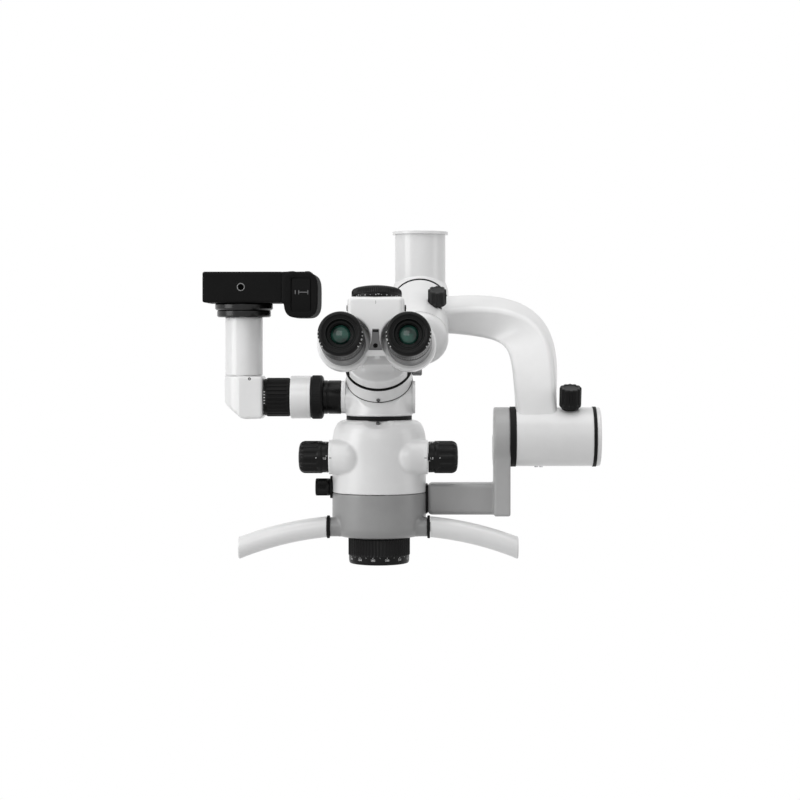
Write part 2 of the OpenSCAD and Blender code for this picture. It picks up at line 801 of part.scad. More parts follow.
dome_share = 0.8;
zoom_grooves = 12;
groove_r = 1.6;
groove_share = 0.5;
number_ring_share = 0.96;
module zoom_knob() {
  r = zoom_knob_d / 2;
  h = zoom_knob_len;
  edge = r / 6;
  difference() {
    turned([[0, 0], [r * number_ring_share, 0], [r * number_ring_share, h / 5], [r, h / 4],
      [r, h - 2 * edge], [r - edge / 2, h - edge], [r * dome_share, h - edge / 3], [0, h]]);
    translate([0, 0, -cut]) cylinder(d = zoom_shaft_d, h = cut + h / 2);
    for (i = [0 : zoom_grooves - 1]) rotate([0, 0, i * 360 / zoom_grooves])
      translate([r, 0, h * (1 - groove_share)]) cylinder(r = groove_r, h = h, $fn = 24);
  }
}
module zoom_knobs() {
  color("#1b1b1d") along_zoom() for (s = [0, 1]) mirror([0, 0, s])
    translate([0, 0, zoom_half]) zoom_knob();
}

light_edge = 1.2;
light_shaft_in = 12;
module light_knob() {
  r = light_knob_d / 2;
  h = light_knob_len;
  color("#1b1b1d") at_pod() along_light() {
    translate([0, 0, pod_r + light_flange_h + move_gap])
      turned([[0, 0], [r, 0], [r, h - light_edge], [r - light_edge, h], [0, h]]);
    translate([0, 0, pod_r - light_shaft_in]) cylinder(d = light_shaft_d,
      h = light_shaft_in + light_flange_h + move_gap);
  }
}

// Handles: dark collars seated on the lower shell, curved grips that turn in them
collar_in = 40;
collar_out = pod_r + 4.4;
collar_face = 3;
handle_boss_d = 20;
module handle_collar() {
  along_handle() difference() {
    union() {
      translate([0, 0, collar_out - collar_face]) cylinder(d = collar_d, h = collar_face);
    }
    translate([0, 0, collar_in - cut]) cylinder(d = handle_shaft_d + 2 * run_gap,
      h = collar_out - collar_in + 2 * cut);
  }
}
// The bracket's seal: a shim between its bar and the pod's wall
module bracket_seal() {
  translate([bar_left - bar_d / 2, bar_y - (bar_d - seal_h) / 2, bar_top - bar_h + seal_h / 2])
    cube([bar_d / 2, bar_d - seal_h, bar_h - seal_h]);
}
module pod_collars() {
  color("#1b1b1d") difference() {
    union() {
      at_pod() {
        for (s = [0, 1]) mirror([s, 0, 0]) handle_collar();
        along_light() translate([0, 0, pod_r - light_flange_in])
          pipe(light_flange_d, light_shaft_d + 2 * free_gap, light_flange_in + light_flange_h);
      }
      bracket_seal();
    }
    at_pod() translate([0, 0, -pod_d * 2]) cylinder(d = pod_d, h = pod_d * 3);
  }
}

module handle_grip() {
  start = collar_out + move_gap;
  at_pod() {
    along_handle() translate([0, 0, collar_in - handle_shaft_d])
      cylinder(d = handle_shaft_d, h = start - collar_in + handle_shaft_d);
    difference() {
      translate([start, -handle_out, -handle_drop]) rotate([-90, 0, 0])
        rotate([0, 0, grip_slope - 90]) translate([-grip_bend_r, 0, 0])
          rotate_extrude(angle = grip_sweep, $fn = 360) translate([grip_bend_r, 0]) circle(d = grip_d);
      along_handle() translate([0, 0, start - grip_d]) cylinder(d = 2 * grip_d, h = grip_d);
      translate([grip_reach, -handle_out - grip_d, -handle_drop - grip_bend_r])
        cube([grip_bend_r, 2 * grip_d, 2 * grip_bend_r]);
    }
  }
}
module handle_right() {
  color("gainsboro") handle_grip();
}
module handle_left() {
  color("gainsboro") translate([-2 * head_off, 0, 0]) mirror([1, 0, 0]) handle_grip();
}

// Objective: focus ring that turns under the pod, cell that slides inside it
focus_bore_d = cell_d + 2 * free_gap;
focus_lip_r = objective_hole_r - free_gap;
retainer_r = objective_hole_r + 3;
retainer_h = 2;
foot_round = 2.4;
module focus_ring() {
  top = pod_foot - free_gap;
  foot = pod_foot - focus_h;
  b = focus_bore_d / 2;
  hub = pod_foot + floor_t + free_gap;
  color("#1b1b1d") at_pod() turned([[b, foot], [focus_foot_d / 2 - foot_round, foot],
    [focus_foot_d / 2, foot + foot_round], [focus_d / 2, top - foot_round], [focus_d / 2, top],
    [focus_lip_r, top], [focus_lip_r, hub], [retainer_r, hub], [retainer_r, hub + retainer_h],
    [b, hub + retainer_h]]);
}

cell_wall = 3;
cell_foot_in = 7;
cell_foot = -upper_h - lower_h - focus_h + cell_foot_in;
module objective_cell() {
  color("dimgray") at_pod() translate([0, 0, cell_foot])
    pipe(cell_d, cell_d - 2 * cell_wall, cell_h);
}
objective_lens_t = 9;
lens_edge = 5;
module objective_lens() {
  r = cell_d / 2 - cell_wall;
  color("lightblue") at_pod() translate([0, 0, cell_foot + cell_wall])
    turned([[0, 0], [r / 2, (objective_lens_t - lens_edge) / 4], [r, objective_lens_t - lens_edge],
      [r, objective_lens_t], [0, objective_lens_t]]);
}

// Beam splitter: a turned base cut by the inclined joint, with a port at each side
splitter_round_over = 7;
splitter_round_r = splitter_d / 2 + splitter_round_over;
splitter_round_up = 22;
splitter_foot_h = 2;
waist_low = 15;
waist_high = 24;
waist_top = 48;
splitter_bore_r = 20;
splitter_z = -pod_top_drop + pod_ring_h;
port_boss_d = port_d + 1;
prism_w = 24;
module splitter_outer() {
  r = splitter_d / 2;
  w = splitter_waist_d / 2;
  top = waist_top + splitter_d / 2;
  intersection() {
    translate([-head_off, -head_out, splitter_z])
      turned([[0, 0], [r, 0], [r, splitter_foot_h], [w, waist_low], [w, waist_high], [r, waist_top],
        [r, top], [0, top]]);
    translate([-head_off, -head_out, splitter_z + splitter_round_up]) sphere(r = splitter_round_r);
    along_dovetail() translate([0, 0, -2 * splitter_d]) cylinder(r = 2 * splitter_d, h = 2 * splitter_d);
  }
  intersection() {
    along_dovetail() translate([0, 0, -splitter_d / 8]) cylinder(d = dovetail_d, h = splitter_d / 8);
    translate([-head_off, -head_out, splitter_z]) cylinder(r = splitter_d, h = splitter_d + waist_top);
  }
}
module along_port() {
  translate([-head_off, -head_out, -port_drop]) rotate([0, 90, 0]) children();
}
module beam_splitter() {
  color("gainsboro") difference() {
    union() {
      splitter_outer();
      along_port() translate([0, 0, -port_out]) cylinder(d = port_boss_d, h = 2 * port_out);
    }
    translate([-head_off, -head_out, -port_drop])
      cube([prism_w + 2 * run_gap, prism_w + 2 * run_gap, prism_w + 2 * run_gap], center = true);
    along_dovetail() cylinder(r = 2 * splitter_d, h = splitter_d);
    along_port() translate([0, 0, -port_out - cut])
      cylinder(r = way_r, h = 2 * (port_out + cut));
    translate([-head_off, -head_out, splitter_z - cut])
      cylinder(r = way_r, h = -port_drop - splitter_z + cut);
    along_dovetail() translate([0, 0, -splitter_bore_r]) cylinder(r = way_r, h = splitter_bore_r + cut);
  }
}
cap_edge = 0.8;
port_bore_r = 13;
module port_caps() {
  color("gainsboro") along_port() {
    translate([0, 0, port_out]) turned([[0, 0], [port_d / 2, 0], [port_d / 2, blank_cap_h - cap_edge],
      [port_d / 2 - cap_edge, blank_cap_h], [0, blank_cap_h]]);
    translate([0, 0, -port_out - port_flange_h]) pipe(port_d, 2 * port_bore_r, port_flange_h);
  }
}

// Inclined ring with its black gasket on top, then the knuckle's base
dove_gasket_h = 1.6;
dove_seam = 0.4;
module dovetail_ring() {
  color("gainsboro") difference() {
    along_dovetail() translate([0, 0, dove_seam]) pipe(dovetail_d, 2 * splitter_bore_r, dovetail_h);
    along_dovetail() thumb_hole();
    lock_screw_hole();
  }
}
module dovetail_gasket() {
  color("black") along_dovetail() translate([0, 0, dove_seam + dovetail_h])
    pipe(dovetail_d + 2 * gasket_proud, 2 * splitter_bore_r, dove_gasket_h);
}
thumb_d = 5;
thumb_head_d = 7.4;
thumb_len = 10;
thumb_in = 8;
thumb_at_share = 0.55;
module along_thumb() {
  translate([dovetail_d / 2 - thumb_in, 0, dove_seam + dovetail_h * thumb_at_share])
    rotate([0, 90, 0]) children();
}
module thumb_hole() {
  along_thumb() cylinder(d = thumb_d + 2 * run_gap, h = dovetail_d);
}
module thumb_screw() {
  color("silver") along_dovetail() along_thumb() {
    cylinder(d = thumb_d, h = thumb_in + move_gap);
    translate([0, 0, thumb_in + move_gap]) turned([[0, 0], [thumb_head_d / 2, 0],
      [thumb_head_d / 2, thumb_len - cap_edge], [thumb_head_d / 2 - cap_edge, thumb_len],
      [0, thumb_len]]);
  }
}
lock_d = 4;
lock_len = 9;
lock_at_share = 0.22;
lock_proud = 1.4;
module lock_screw_place() {
  along_dovetail()
    translate([0, -dovetail_d / 2 + lock_len - lock_proud, dove_seam + dovetail_h * lock_at_share])
    rotate([90, 0, 0]) children();
}
module lock_screw_hole() {
  lock_screw_place() translate([0, 0, -move_gap])
    cylinder(d = lock_d + 2 * run_gap, h = lock_len + 2 * move_gap);
}
module lock_screw() {
  color("dimgray") lock_screw_place() cylinder(d = lock_d, h = lock_len);
}

base_from = dove_seam + dovetail_h + dove_gasket_h;
base_h = 10.8;
base_side = 2.6;
base_half = knuckle_d / 2 - base_side;
hinge_r = hinge_d / 2;
hinge_clear = 2.5;
hinge_lift = base_from + base_h + hinge_r + hinge_clear;
lug_half = 15;
module knuckle() {
  color("gainsboro") along_dovetail() difference() {
    union() {
      intersection() {
        translate([0, 0, base_from]) cylinder(d = knuckle_d, h = base_h);
        translate([-base_half, -knuckle_d, base_from]) cube([2 * base_half, 2 * knuckle_d, base_h]);
      }
      translate([-lug_half, -hinge_r, base_from + base_h / 2])
        cube([2 * lug_half, hinge_d, hinge_lift - base_from - base_h / 2]);
      translate([-lug_half, 0, hinge_lift]) rotate([0, 90, 0]) cylinder(r = hinge_r, h = 2 * lug_half);
    }
    translate([-knuckle_d, 0, hinge_lift]) rotate([0, 90, 0])
      cylinder(d = hinge_pin_d + 2 * run_gap, h = 2 * knuckle_d);
  }
}

// Binocular frame: origin on the hinge, +Z toward the eyepieces, +Y up
hinge_y = -head_out - hinge_lift * sin(dovetail_angle);
hinge_z = -dovetail_drop + hinge_lift * cos(dovetail_angle);
module along_eyes() {
  translate([-head_off, hinge_y, hinge_z]) rotate([90 - eye_rise, 0, 0]) children();
}
cheek_t = 14;
cheek_gap = 0.5;
cheek_in = lug_half + cheek_gap;
module hinge_pin() {
  color("silver") along_eyes() translate([-cheek_in - cheek_t, 0, 0]) rotate([0, 90, 0])
    cylinder(d = hinge_pin_d, h = 2 * (cheek_in + cheek_t));
}

// Ocular axes below the hinge, travel toward and away from the middle
axis_drop = 6.6;
pupil_min = 56;
pupil_max = 75;
eye_half = pupil_dist / 2;
in_travel = (pupil_dist - pupil_min) / 2;
out_travel = (pupil_max - pupil_dist) / 2;
back_clear = 1.6;
back_from = hinge_r + back_clear;
back_t = 5.4;
ocular_from = back_from + back_t + move_gap;
ocular_len = 18;
tube_end = eye_reach - eye_len;
house_top = 37;
house_low = 18;
back_low = 26;
house_r = 8;
front_in = 3;
back_half = 38;
back_top = 30;
module slot_clear(r, from, to) {
  w = in_travel + out_travel;
  for (s = [-1, 1]) translate([s * eye_half, -axis_drop, from]) {
    translate([-s * in_travel, 0, 0]) cylinder(r = r, h = to - from);
    translate([s * out_travel, 0, 0]) cylinder(r = r, h = to - from);
    translate([-w / 2 + s * (out_travel - in_travel) / 2, -r, 0]) cube([w, 2 * r, to - from]);
  }
}
module binocular_housing() {
  color("gainsboro") along_eyes() difference() {
    union() {
      translate([0, (house_top - house_low) / 2, back_from])
        rounded_bar([bino_w, house_top + house_low, tube_end - front_in - back_from], house_r);
      translate([0, (back_top - back_low) / 2, back_from])
        rounded_bar([2 * back_half, back_top + back_low, back_t], house_r);
      for (s = [0, 1]) mirror([s, 0, 0]) translate([cheek_in, 0, 0]) {
        rotate([0, 90, 0]) cylinder(r = hinge_r, h = cheek_t - cheek_gap);
        translate([0, -hinge_r, 0]) cube([cheek_t - cheek_gap, hinge_d, back_from + back_t / 2]);
      }
    }
    slot_clear(ocular_d / 2 + move_gap, back_from + back_t, ocular_from + ocular_len + move_gap);
    slot_clear(ocular_tube_d / 2 + move_gap, ocular_from + ocular_len, tube_end + cut);
    slot_clear(way_r, back_from - cut, ocular_from + cut);
    translate([-bino_w, 0, 0]) rotate([0, 90, 0]) cylinder(d = hinge_pin_d, h = 2 * bino_w);
    pd_stem_hole();
  }
}

pd_at = 50;
pd_stem_d = 8;
pd_stem_len = 10;
module along_pd() {
  translate([0, house_top, pd_at]) rotate([-90, 0, 0]) children();
}
module pd_stem_hole() {
  along_pd() translate([0, 0, -pd_stem_len - move_gap])
    cylinder(d = pd_stem_d + 2 * run_gap, h = pd_stem_len + 2 * cut);
}
pd_rim_share = 0.5;
pd_dome_share = 0.86;
pd_low_share = 0.96;
module pd_knob() {
  r = pd_knob_d / 2;
  h = pd_knob_h;
  color("#1b1b1d") along_eyes() along_pd() {
    translate([0, 0, move_gap]) turned([[0, 0], [r * pd_low_share, 0], [r, h / 5],
      [r, h * pd_rim_share], [r * pd_dome_share, h * pd_dome_share], [r / 2, h], [0, h]]);
    translate([0, 0, -pd_stem_len]) cylinder(d = pd_stem_d, h = pd_stem_len + move_gap);
  }
}

ocular_bore_r = 12;
ocular_edge = 3;
module ocular() {
  r = ocular_d / 2;
  rt = ocular_tube_d / 2;
  b = ocular_bore_r;
  top = ocular_len;
  z = tube_end - ocular_from - move_gap;
  translate([0, -axis_drop, ocular_from]) turned([[b, 0], [r - ocular_edge, 0], [r, ocular_edge],
    [r, top - ocular_edge], [r - ocular_edge / 2, top], [rt, top], [rt, z], [b, z]]);
}
module ocular_left() {
  color("gainsboro") along_eyes() translate([-eye_half, 0, 0]) ocular();
}
module ocular_right() {
  color("gainsboro") along_eyes() translate([eye_half, 0, 0]) ocular();
}

// Eyepiece: turning diopter ring with its cup, sleeve inside the ocular's bore
eye_lens_r = 10;
cup_deep = 6;
cup_r = 14;
sleeve_len = 14;
eye_edge = 2;
eye_step = 1.2;
module eyepiece() {
  r = eye_d / 2;
  b = eye_lens_r - eye_step;
  sr = ocular_bore_r - run_gap;
  translate([0, -axis_drop, tube_end]) turned([[b, -sleeve_len], [sr, -sleeve_len], [sr, 0],
    [r - eye_edge, 0], [r, eye_edge], [r, eye_len - eye_edge], [r - eye_edge, eye_len],
    [cup_r, eye_len], [eye_lens_r, eye_len - cup_deep], [b, eye_len - cup_deep]]);
}
module eyepiece_left() {
  color("#1b1b1d") along_eyes() translate([-eye_half, 0, 0]) eyepiece();
}
module eyepiece_right() {
  color("#1b1b1d") along_eyes() translate([eye_half, 0, 0]) eyepiece();
}
eye_lens_t = 4;
eye_lens_back = 3;
eye_crown_share = 0.5;
module eye_lens() {
  r = eye_lens_r - eye_step;
  top = eye_lens_t + eye_step;
  translate([0, -axis_drop, tube_end + eye_len - cup_deep - eye_lens_t - eye_lens_back])
    turned([[0, 0], [r, 0], [r, eye_lens_t], [r * eye_crown_share, top], [0, top + eye_step / 4]]);
}
module eye_lens_left() {
  color("darkslategray") along_eyes() translate([-eye_half, 0, 0]) eye_lens();
}
module eye_lens_right() {
  color("darkslategray") along_eyes() translate([eye_half, 0, 0]) eye_lens();
}

// Photo adapter, from the left port outward
adapter_from = port_out + port_flange_h;
adapter_bore_r = 13;
nut_from = adapter_from + adapter_len;
white_from = nut_from + nut_len;
rib_from = white_from + white_ring_len;
elbow_from = rib_from + rib_ring_len;
module leftward(from) {
  along_port() translate([0, 0, -from]) rotate([180, 0, 0]) children();
}
nut_step = 3;
module adapter_rings() {
  color("#1b1b1d") {
    leftward(adapter_from) pipe(adapter_d, 2 * adapter_bore_r, adapter_len);
    leftward(nut_from) pipe(adapter_d - 2 * nut_step, 2 * adapter_bore_r, nut_len);
    translate([elbow_x, -head_out, mount_z]) {
      pipe(mount_low_d, 2 * adapter_bore_r, mount_ring_h);
      translate([0, 0, mount_ring_h]) pipe(mount_high_d, 2 * adapter_bore_r, mount_ring_h);
    }
  }
}
module coupling_nut() {
  r = nut_d / 2;
  b = adapter_d / 2 - nut_step + move_gap;
  top = nut_len - move_gap;
  color("#1b1b1d") leftward(nut_from) turned([[b, move_gap], [r - nut_step, move_gap],
    [r, nut_step + move_gap], [r, top - nut_step], [r - nut_step / 2, top], [b, top]]);
}

rib_count = 28;
rib_r = 1.2;
rib_sleeve_r = 16.5;
module rib_ring() {
  r = rib_ring_d / 2;
  h = rib_ring_len - 2 * move_gap;
  b = rib_sleeve_r + move_gap;
  color("#1b1b1d") leftward(rib_from) translate([0, 0, move_gap]) difference() {
    turned([[b, 0], [r, 0], [r, h - rib_r], [r - rib_r, h], [b, h]]);
    for (i = [0 : rib_count - 1]) rotate([0, 0, i * 360 / rib_count])
      translate([r + rib_r / 3, 0, rib_r]) cylinder(r = rib_r, h = h, $fn = 16);
  }
}

// White adapter ring, sleeve, elbow and vertical tube; the mount rings stand on top
elbow_margin = 1.6;
photo_off = elbow_from + photo_tube_d / 2 + elbow_margin;
elbow_x = -head_off - photo_off;
elbow_left = photo_off + elbow_w / 2 - elbow_margin;
elbow_cham = 16;
elbow_top = -port_drop + elbow_w / 2;
module elbow_block() {
  half = elbow_w / 2;
  post_r = half - elbow_margin;
  intersection() {
    translate([0, half, 0]) rotate([90, 0, 0]) linear_extrude(height = elbow_w)
      polygon([[-elbow_left, half], [-elbow_from, half], [-elbow_from, -half],
        [-elbow_left + elbow_cham, -half], [-elbow_left, -half + elbow_cham]]);
    translate([0, 0, -half]) union() {
      translate([-photo_off, 0, 0]) cylinder(r = post_r, h = elbow_w);
      translate([-photo_off, -half + elbow_margin / 2, 0]) cube([photo_off, elbow_w - elbow_margin, elbow_w]);
    }
  }
}
turn_prism_w = 18;
mount_z = elbow_top + photo_tube_h;
relay_t = 5;
relay_up_share = 0.5;
module photo_tube() {
  sleeve = white_ring_len + rib_ring_len;
  color("gainsboro") {
    difference() {
      union() {
        leftward(white_from) cylinder(d = white_ring_d, h = white_ring_len);
        leftward(white_from) cylinder(r = rib_sleeve_r, h = sleeve + cut);
        translate([-head_off, -head_out, -port_drop]) elbow_block();
        translate([elbow_x, -head_out, elbow_top - cut])
          cylinder(d = photo_tube_d, h = photo_tube_h + cut);
      }
      leftward(white_from - cut) cylinder(r = adapter_bore_r, h = photo_off - white_from + cut);
      translate([elbow_x, -head_out, -port_drop])
        cylinder(r = adapter_bore_r, h = elbow_top + port_drop + photo_tube_h + cut);
    }
  }
}

// Optics of the head that stay put: splitter prism, turning prism, relay lens
module turn_prism() {
  half = turn_prism_w / 2;
  polygon([[-half, half], [half, half], [half, -half]]);
}
module head_optics() {
  color("lightblue") {
    translate([-head_off, -head_out, -port_drop]) cube([prism_w, prism_w, prism_w], center = true);
    translate([elbow_x, -head_out, mount_z - photo_tube_h * relay_up_share])
      cylinder(r = adapter_bore_r, h = relay_t);
    translate([elbow_x, -head_out + turn_prism_w / 2, -port_drop]) rotate([90, 0, 0])
      linear_extrude(height = turn_prism_w) turn_prism();
  }
}

// Camera: lens down, its base toward the viewer, its screen on top
camera_z = mount_z + 2 * mount_ring_h;
camera_left = elbow_x - lens_from_end;
camera_r = 4;
camera_front = -head_out - camera_h / 2;
body_w = camera_w - camera_grip_w;
grip_r = 9;
screen_w = 74;
screen_h = 50;
screen_t = 4;
tripod_d = 6.4;
tripod_deep = 8;
door_w = 20;
door_d = 34;
door_t = 3;
button_d = 9;
button_h = 4;
button_proud = 1.6;
module camera_body() {
  color("#202022") difference() {
    union() {
      translate([camera_left + body_w / 2, camera_front + camera_h, camera_z + camera_t / 2])
        rotate([90, 0, 0]) rounded_bar([body_w, camera_t, camera_h], camera_r);
      translate([camera_left + body_w + camera_grip_w / 2, camera_front + camera_h,
        camera_z + (camera_t - camera_grip_out) / 2]) rotate([90, 0, 0])
          rounded_bar([camera_grip_w, camera_t + camera_grip_out, camera_h], grip_r);
    }
    translate([elbow_x, camera_front - cut, camera_z + camera_t / 2]) rotate([-90, 0, 0])
      cylinder(d = tripod_d, h = tripod_deep + cut);
    translate([camera_left + camera_r + screen_w / 2, -head_out, camera_z + camera_t - screen_t / 2])
      cube([screen_w + 2 * move_gap, screen_h + 2 * move_gap, screen_t + move_gap], center = true);
    translate([elbow_x, -head_out, camera_z - cut]) cylinder(r = adapter_bore_r, h = camera_t / 2);
    door_place() translate([-door_w / 2 - move_gap, -cut, -door_d / 2 - move_gap])
      cube([door_w + 2 * move_gap, door_t + move_gap + cut, door_d + 2 * move_gap]);
    button_place() translate([0, 0, -button_h]) cylinder(d = button_d + 2 * move_gap, h = camera_t);
  }
}
grip_mid_x = camera_left + body_w + camera_grip_w / 2;
grip_mid_z = camera_z + (camera_t - camera_grip_out) / 2;
module door_place() {
  translate([grip_mid_x, camera_front, grip_mid_z]) children();
}
module battery_door() {
  r = door_t / 2;
  color("#202022") door_place() {
    translate([-door_w / 2 + r, 0, -door_d / 2]) cube([door_w - r, door_t, door_d]);
    translate([-door_w / 2 + r, r, -door_d / 2]) cylinder(r = r, h = door_d);
  }
}
// The shutter button stands on the grip's top, which faces the back here
module button_place() {
  translate([grip_mid_x, camera_front + camera_h, grip_mid_z]) rotate([-90, 0, 0]) children();
}
button_travel = 1.2;
module shutter_button() {
  color("silver") button_place() translate([0, 0, button_travel + move_gap - button_h])
    cylinder(d = button_d, h = button_h + button_proud - button_travel - move_gap);
}
module camera_screen() {
  t = screen_t - move_gap;
  r = t / 2;
  color("#101012") translate([camera_left + camera_r, -head_out - screen_h / 2,
    camera_z + camera_t - screen_t / 2 - r]) {
    cube([screen_w, screen_h - r, t]);
    translate([0, screen_h - r, r]) rotate([0, 90, 0]) cylinder(r = r, h = screen_w);
  }
}

suspension_tube();
roll_spindle();
roll_gasket();
roll_nut();
roll_housing();
joint_bushes();
roll_cap();
brake_shoes();
curved_arm();
tilt_housing();
tilt_seam_ring();
tilt_cap();
tilt_set_screws();
roll_knob();
tilt_knob();
tilt_spindle();
tilt_gasket();
tilt_nut();
l_bracket();
pod_upper_shell();
pod_lower_shell();
pod_chassis();
pod_ring();
led_module();
zoom_bearings();
zoom_drum();
drum_lenses();
zoom_knobs();
light_knob();
pod_collars();
handle_left();
handle_right();
focus_ring();
objective_cell();
objective_lens();
beam_splitter();
head_optics();
port_caps();
dovetail_ring();
dovetail_gasket();
knuckle();
hinge_pin();
binocular_housing();
pd_knob();
ocular_left();
ocular_right();
eyepiece_left();
eyepiece_right();
eye_lens_left();
eye_lens_right();
thumb_screw();
lock_screw();
adapter_rings();
coupling_nut();
photo_tube();
rib_ring();
camera_body();
camera_screen();
shutter_button();
battery_door();
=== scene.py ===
from functools import cache
from math import acos, copysign, cos, pi, radians, sin, sqrt, tan

import bmesh
import bpy
import numpy as np
from mathutils import Matrix, Vector


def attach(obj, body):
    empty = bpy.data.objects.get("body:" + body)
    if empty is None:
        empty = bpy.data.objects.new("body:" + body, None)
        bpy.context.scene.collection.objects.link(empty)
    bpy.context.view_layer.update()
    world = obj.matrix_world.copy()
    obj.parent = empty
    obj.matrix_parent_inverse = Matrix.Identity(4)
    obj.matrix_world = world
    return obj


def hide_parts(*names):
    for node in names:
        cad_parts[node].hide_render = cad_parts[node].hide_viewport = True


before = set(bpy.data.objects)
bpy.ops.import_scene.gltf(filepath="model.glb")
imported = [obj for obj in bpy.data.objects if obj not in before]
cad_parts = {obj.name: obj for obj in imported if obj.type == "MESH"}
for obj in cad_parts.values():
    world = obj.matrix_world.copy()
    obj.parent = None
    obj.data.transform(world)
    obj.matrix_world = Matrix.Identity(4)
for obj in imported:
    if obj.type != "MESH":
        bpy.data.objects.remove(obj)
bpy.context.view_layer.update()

MM = 0.001
TAU = 2 * pi
FRONT = radians(-90)

# ---- local frames, the same ones as the CAD source, in mm


def shift(x, y, z):
    return Matrix.Translation((x, y, z))


def turn(deg, axis):
    return Matrix.Rotation(radians(deg), 4, axis)


LEAN, ROLL_Z, ROLL_OUT = 28, -70, 22.7
TILT_X, TILT_Z = 95.4, -222
HEAD_X, HEAD_Y = -42, -115
POD_Z, PORT_Z, DOVE_Z = -204, -180.4, -161
ZOOM_AT, HANDLE_AT, LIGHT_Z = (0, -25, -38), (0, -20, -111), -71
HINGE_LIFT, HINGE_TURN = 51.7, 81.5
CAM_X = -184.2
HINGE_STEP = HINGE_LIFT * sqrt(0.5)

ROLL = shift(0, 0, ROLL_Z) @ turn(90 + LEAN, "X") @ shift(0, 0, ROLL_OUT)
TILT = shift(TILT_X, HEAD_Y, TILT_Z) @ turn(90, "Y")
HEAD = shift(HEAD_X, HEAD_Y, 0)
POD = shift(HEAD_X, HEAD_Y, POD_Z)
ZOOM = POD @ shift(*ZOOM_AT) @ turn(90, "Y")
LIGHT = POD @ shift(0, 0, LIGHT_Z) @ turn(-90, "Y")
DOVE = shift(HEAD_X, HEAD_Y, DOVE_Z) @ turn(45, "X")
PORT = shift(HEAD_X, HEAD_Y, PORT_Z) @ turn(90, "Y")
LEFT = PORT @ turn(180, "X")
EYES = shift(HEAD_X, HEAD_Y - HINGE_STEP, DOVE_Z + HINGE_STEP) @ turn(HINGE_TURN, "X")
PD = EYES @ shift(0, 37, 50) @ turn(-90, "X")

# ---- materials


def nodes_of(name):
    m = bpy.data.materials.new(name)
    m.use_nodes = True
    nt = m.node_tree
    return m, nt, nt.nodes["Principled BSDF"], nt.nodes.new("ShaderNodeTexCoord")


def wire(nt, n, values, links=()):
    """Sets constants on a node's inputs and links other nodes' outputs to them."""
    for key, value in values.items():
        n.inputs[key].default_value = value
    for key, source in dict(links).items():
        nt.links.new(source, n.inputs[key])
    return n


def node(nt, kind, values, links=(), operation=None):
    n = nt.nodes.new("ShaderNode" + kind)
    if operation:
        n.operation = operation
    return wire(nt, n, values, links)


def noise(nt, coord, scale, detail, rough, stretch=None):
    src = coord.outputs["Object"]
    if stretch:
        src = node(nt, "Mapping", {"Scale": stretch}, {"Vector": src}).outputs["Vector"]
    values = {"Scale": scale, "Detail": detail, "Roughness": rough}
    return node(nt, "TexNoise", values, {"Vector": src}).outputs["Fac"]


def ramp(nt, fac, stops):
    r = node(nt, "ValToRGB", {}, {"Fac": fac})
    for el, (pos, col) in zip(r.color_ramp.elements, stops):
        el.position = pos
        el.color = (*col, 1.0)
    return r.outputs["Color"]


def span(nt, fac, lo, hi):
    return node(nt, "MapRange", {"To Min": lo, "To Max": hi}, {"Value": fac}).outputs["Result"]


def surface(name, light, dark, rough=(0.3, 0.42), metal=0.0, coat=0.0, grain=900.0, bump=0.15,
            stretch=None, spec=0.5):
    """A worked surface: slow colour drift, uneven gloss and a fine relief. A number is a grey."""
    light, dark = [c if isinstance(c, tuple) else (c, c, c) for c in (light, dark)]
    m, nt, bsdf, coord = nodes_of(name)
    drift = noise(nt, coord, 35.0, 5.0, 0.6, stretch)
    fine = noise(nt, coord, grain, 3.0, 0.5, stretch)
    relief = node(nt, "Bump", {"Strength": bump, "Distance": 0.04 * MM}, {"Height": fine})
    values = {"Metallic": metal, "Coat Weight": coat, "Coat Roughness": 0.12,
              "Specular IOR Level": spec}
    links = {"Base Color": ramp(nt, drift, [(0.3, dark), (0.7, light)]),
             "Roughness": span(nt, drift, *rough), "Normal": relief.outputs["Normal"]}
    wire(nt, bsdf, values, links)
    return m


def coated_glass(name, deep, glint):
    """A lens with a green coating: dark in its depth, with lighter patches of painted reflection
    that fade to the dark colour towards grazing view.
    """
    m, nt, bsdf, coord = nodes_of(name)
    cloud = noise(nt, coord, 90.0, 2.0, 0.4)
    weight = node(nt, "LayerWeight", {"Blend": 0.35})
    # The mix by view angle puts the painted reflection patches where the glass faces the view, the
    # dark colour at grazing angles.
    mix = nt.nodes.new("ShaderNodeMix")
    mix.data_type = "RGBA"
    wire(nt, mix, {"B": (*deep, 1.0)},
         {"Factor": weight.outputs["Facing"], "A": ramp(nt, cloud, [(0.35, deep), (0.65, glint)])})
    wire(nt, bsdf, {"Coat Weight": 0.2, "Coat Roughness": 0.04, "Specular IOR Level": 0.3},
         {"Base Color": mix.outputs["Result"], "Roughness": span(nt, cloud, 0.05, 0.12)})
    return m


WHITE = surface("enamel_white", 0.84, 0.8, (0.27, 0.36), coat=0.25, bump=0.05)
WARM = surface("enamel_white_tube", 0.83, 0.79, (0.25, 0.34), coat=0.3, bump=0.05)
GREY = surface("enamel_grey", 0.31, 0.28, (0.32, 0.42), coat=0.1, bump=0.08)
SILVER_PAINT = surface("enamel_silver_grey", 0.43, 0.39, (0.34, 0.44), coat=0.05,
                       bump=0.12, grain=1400.0)
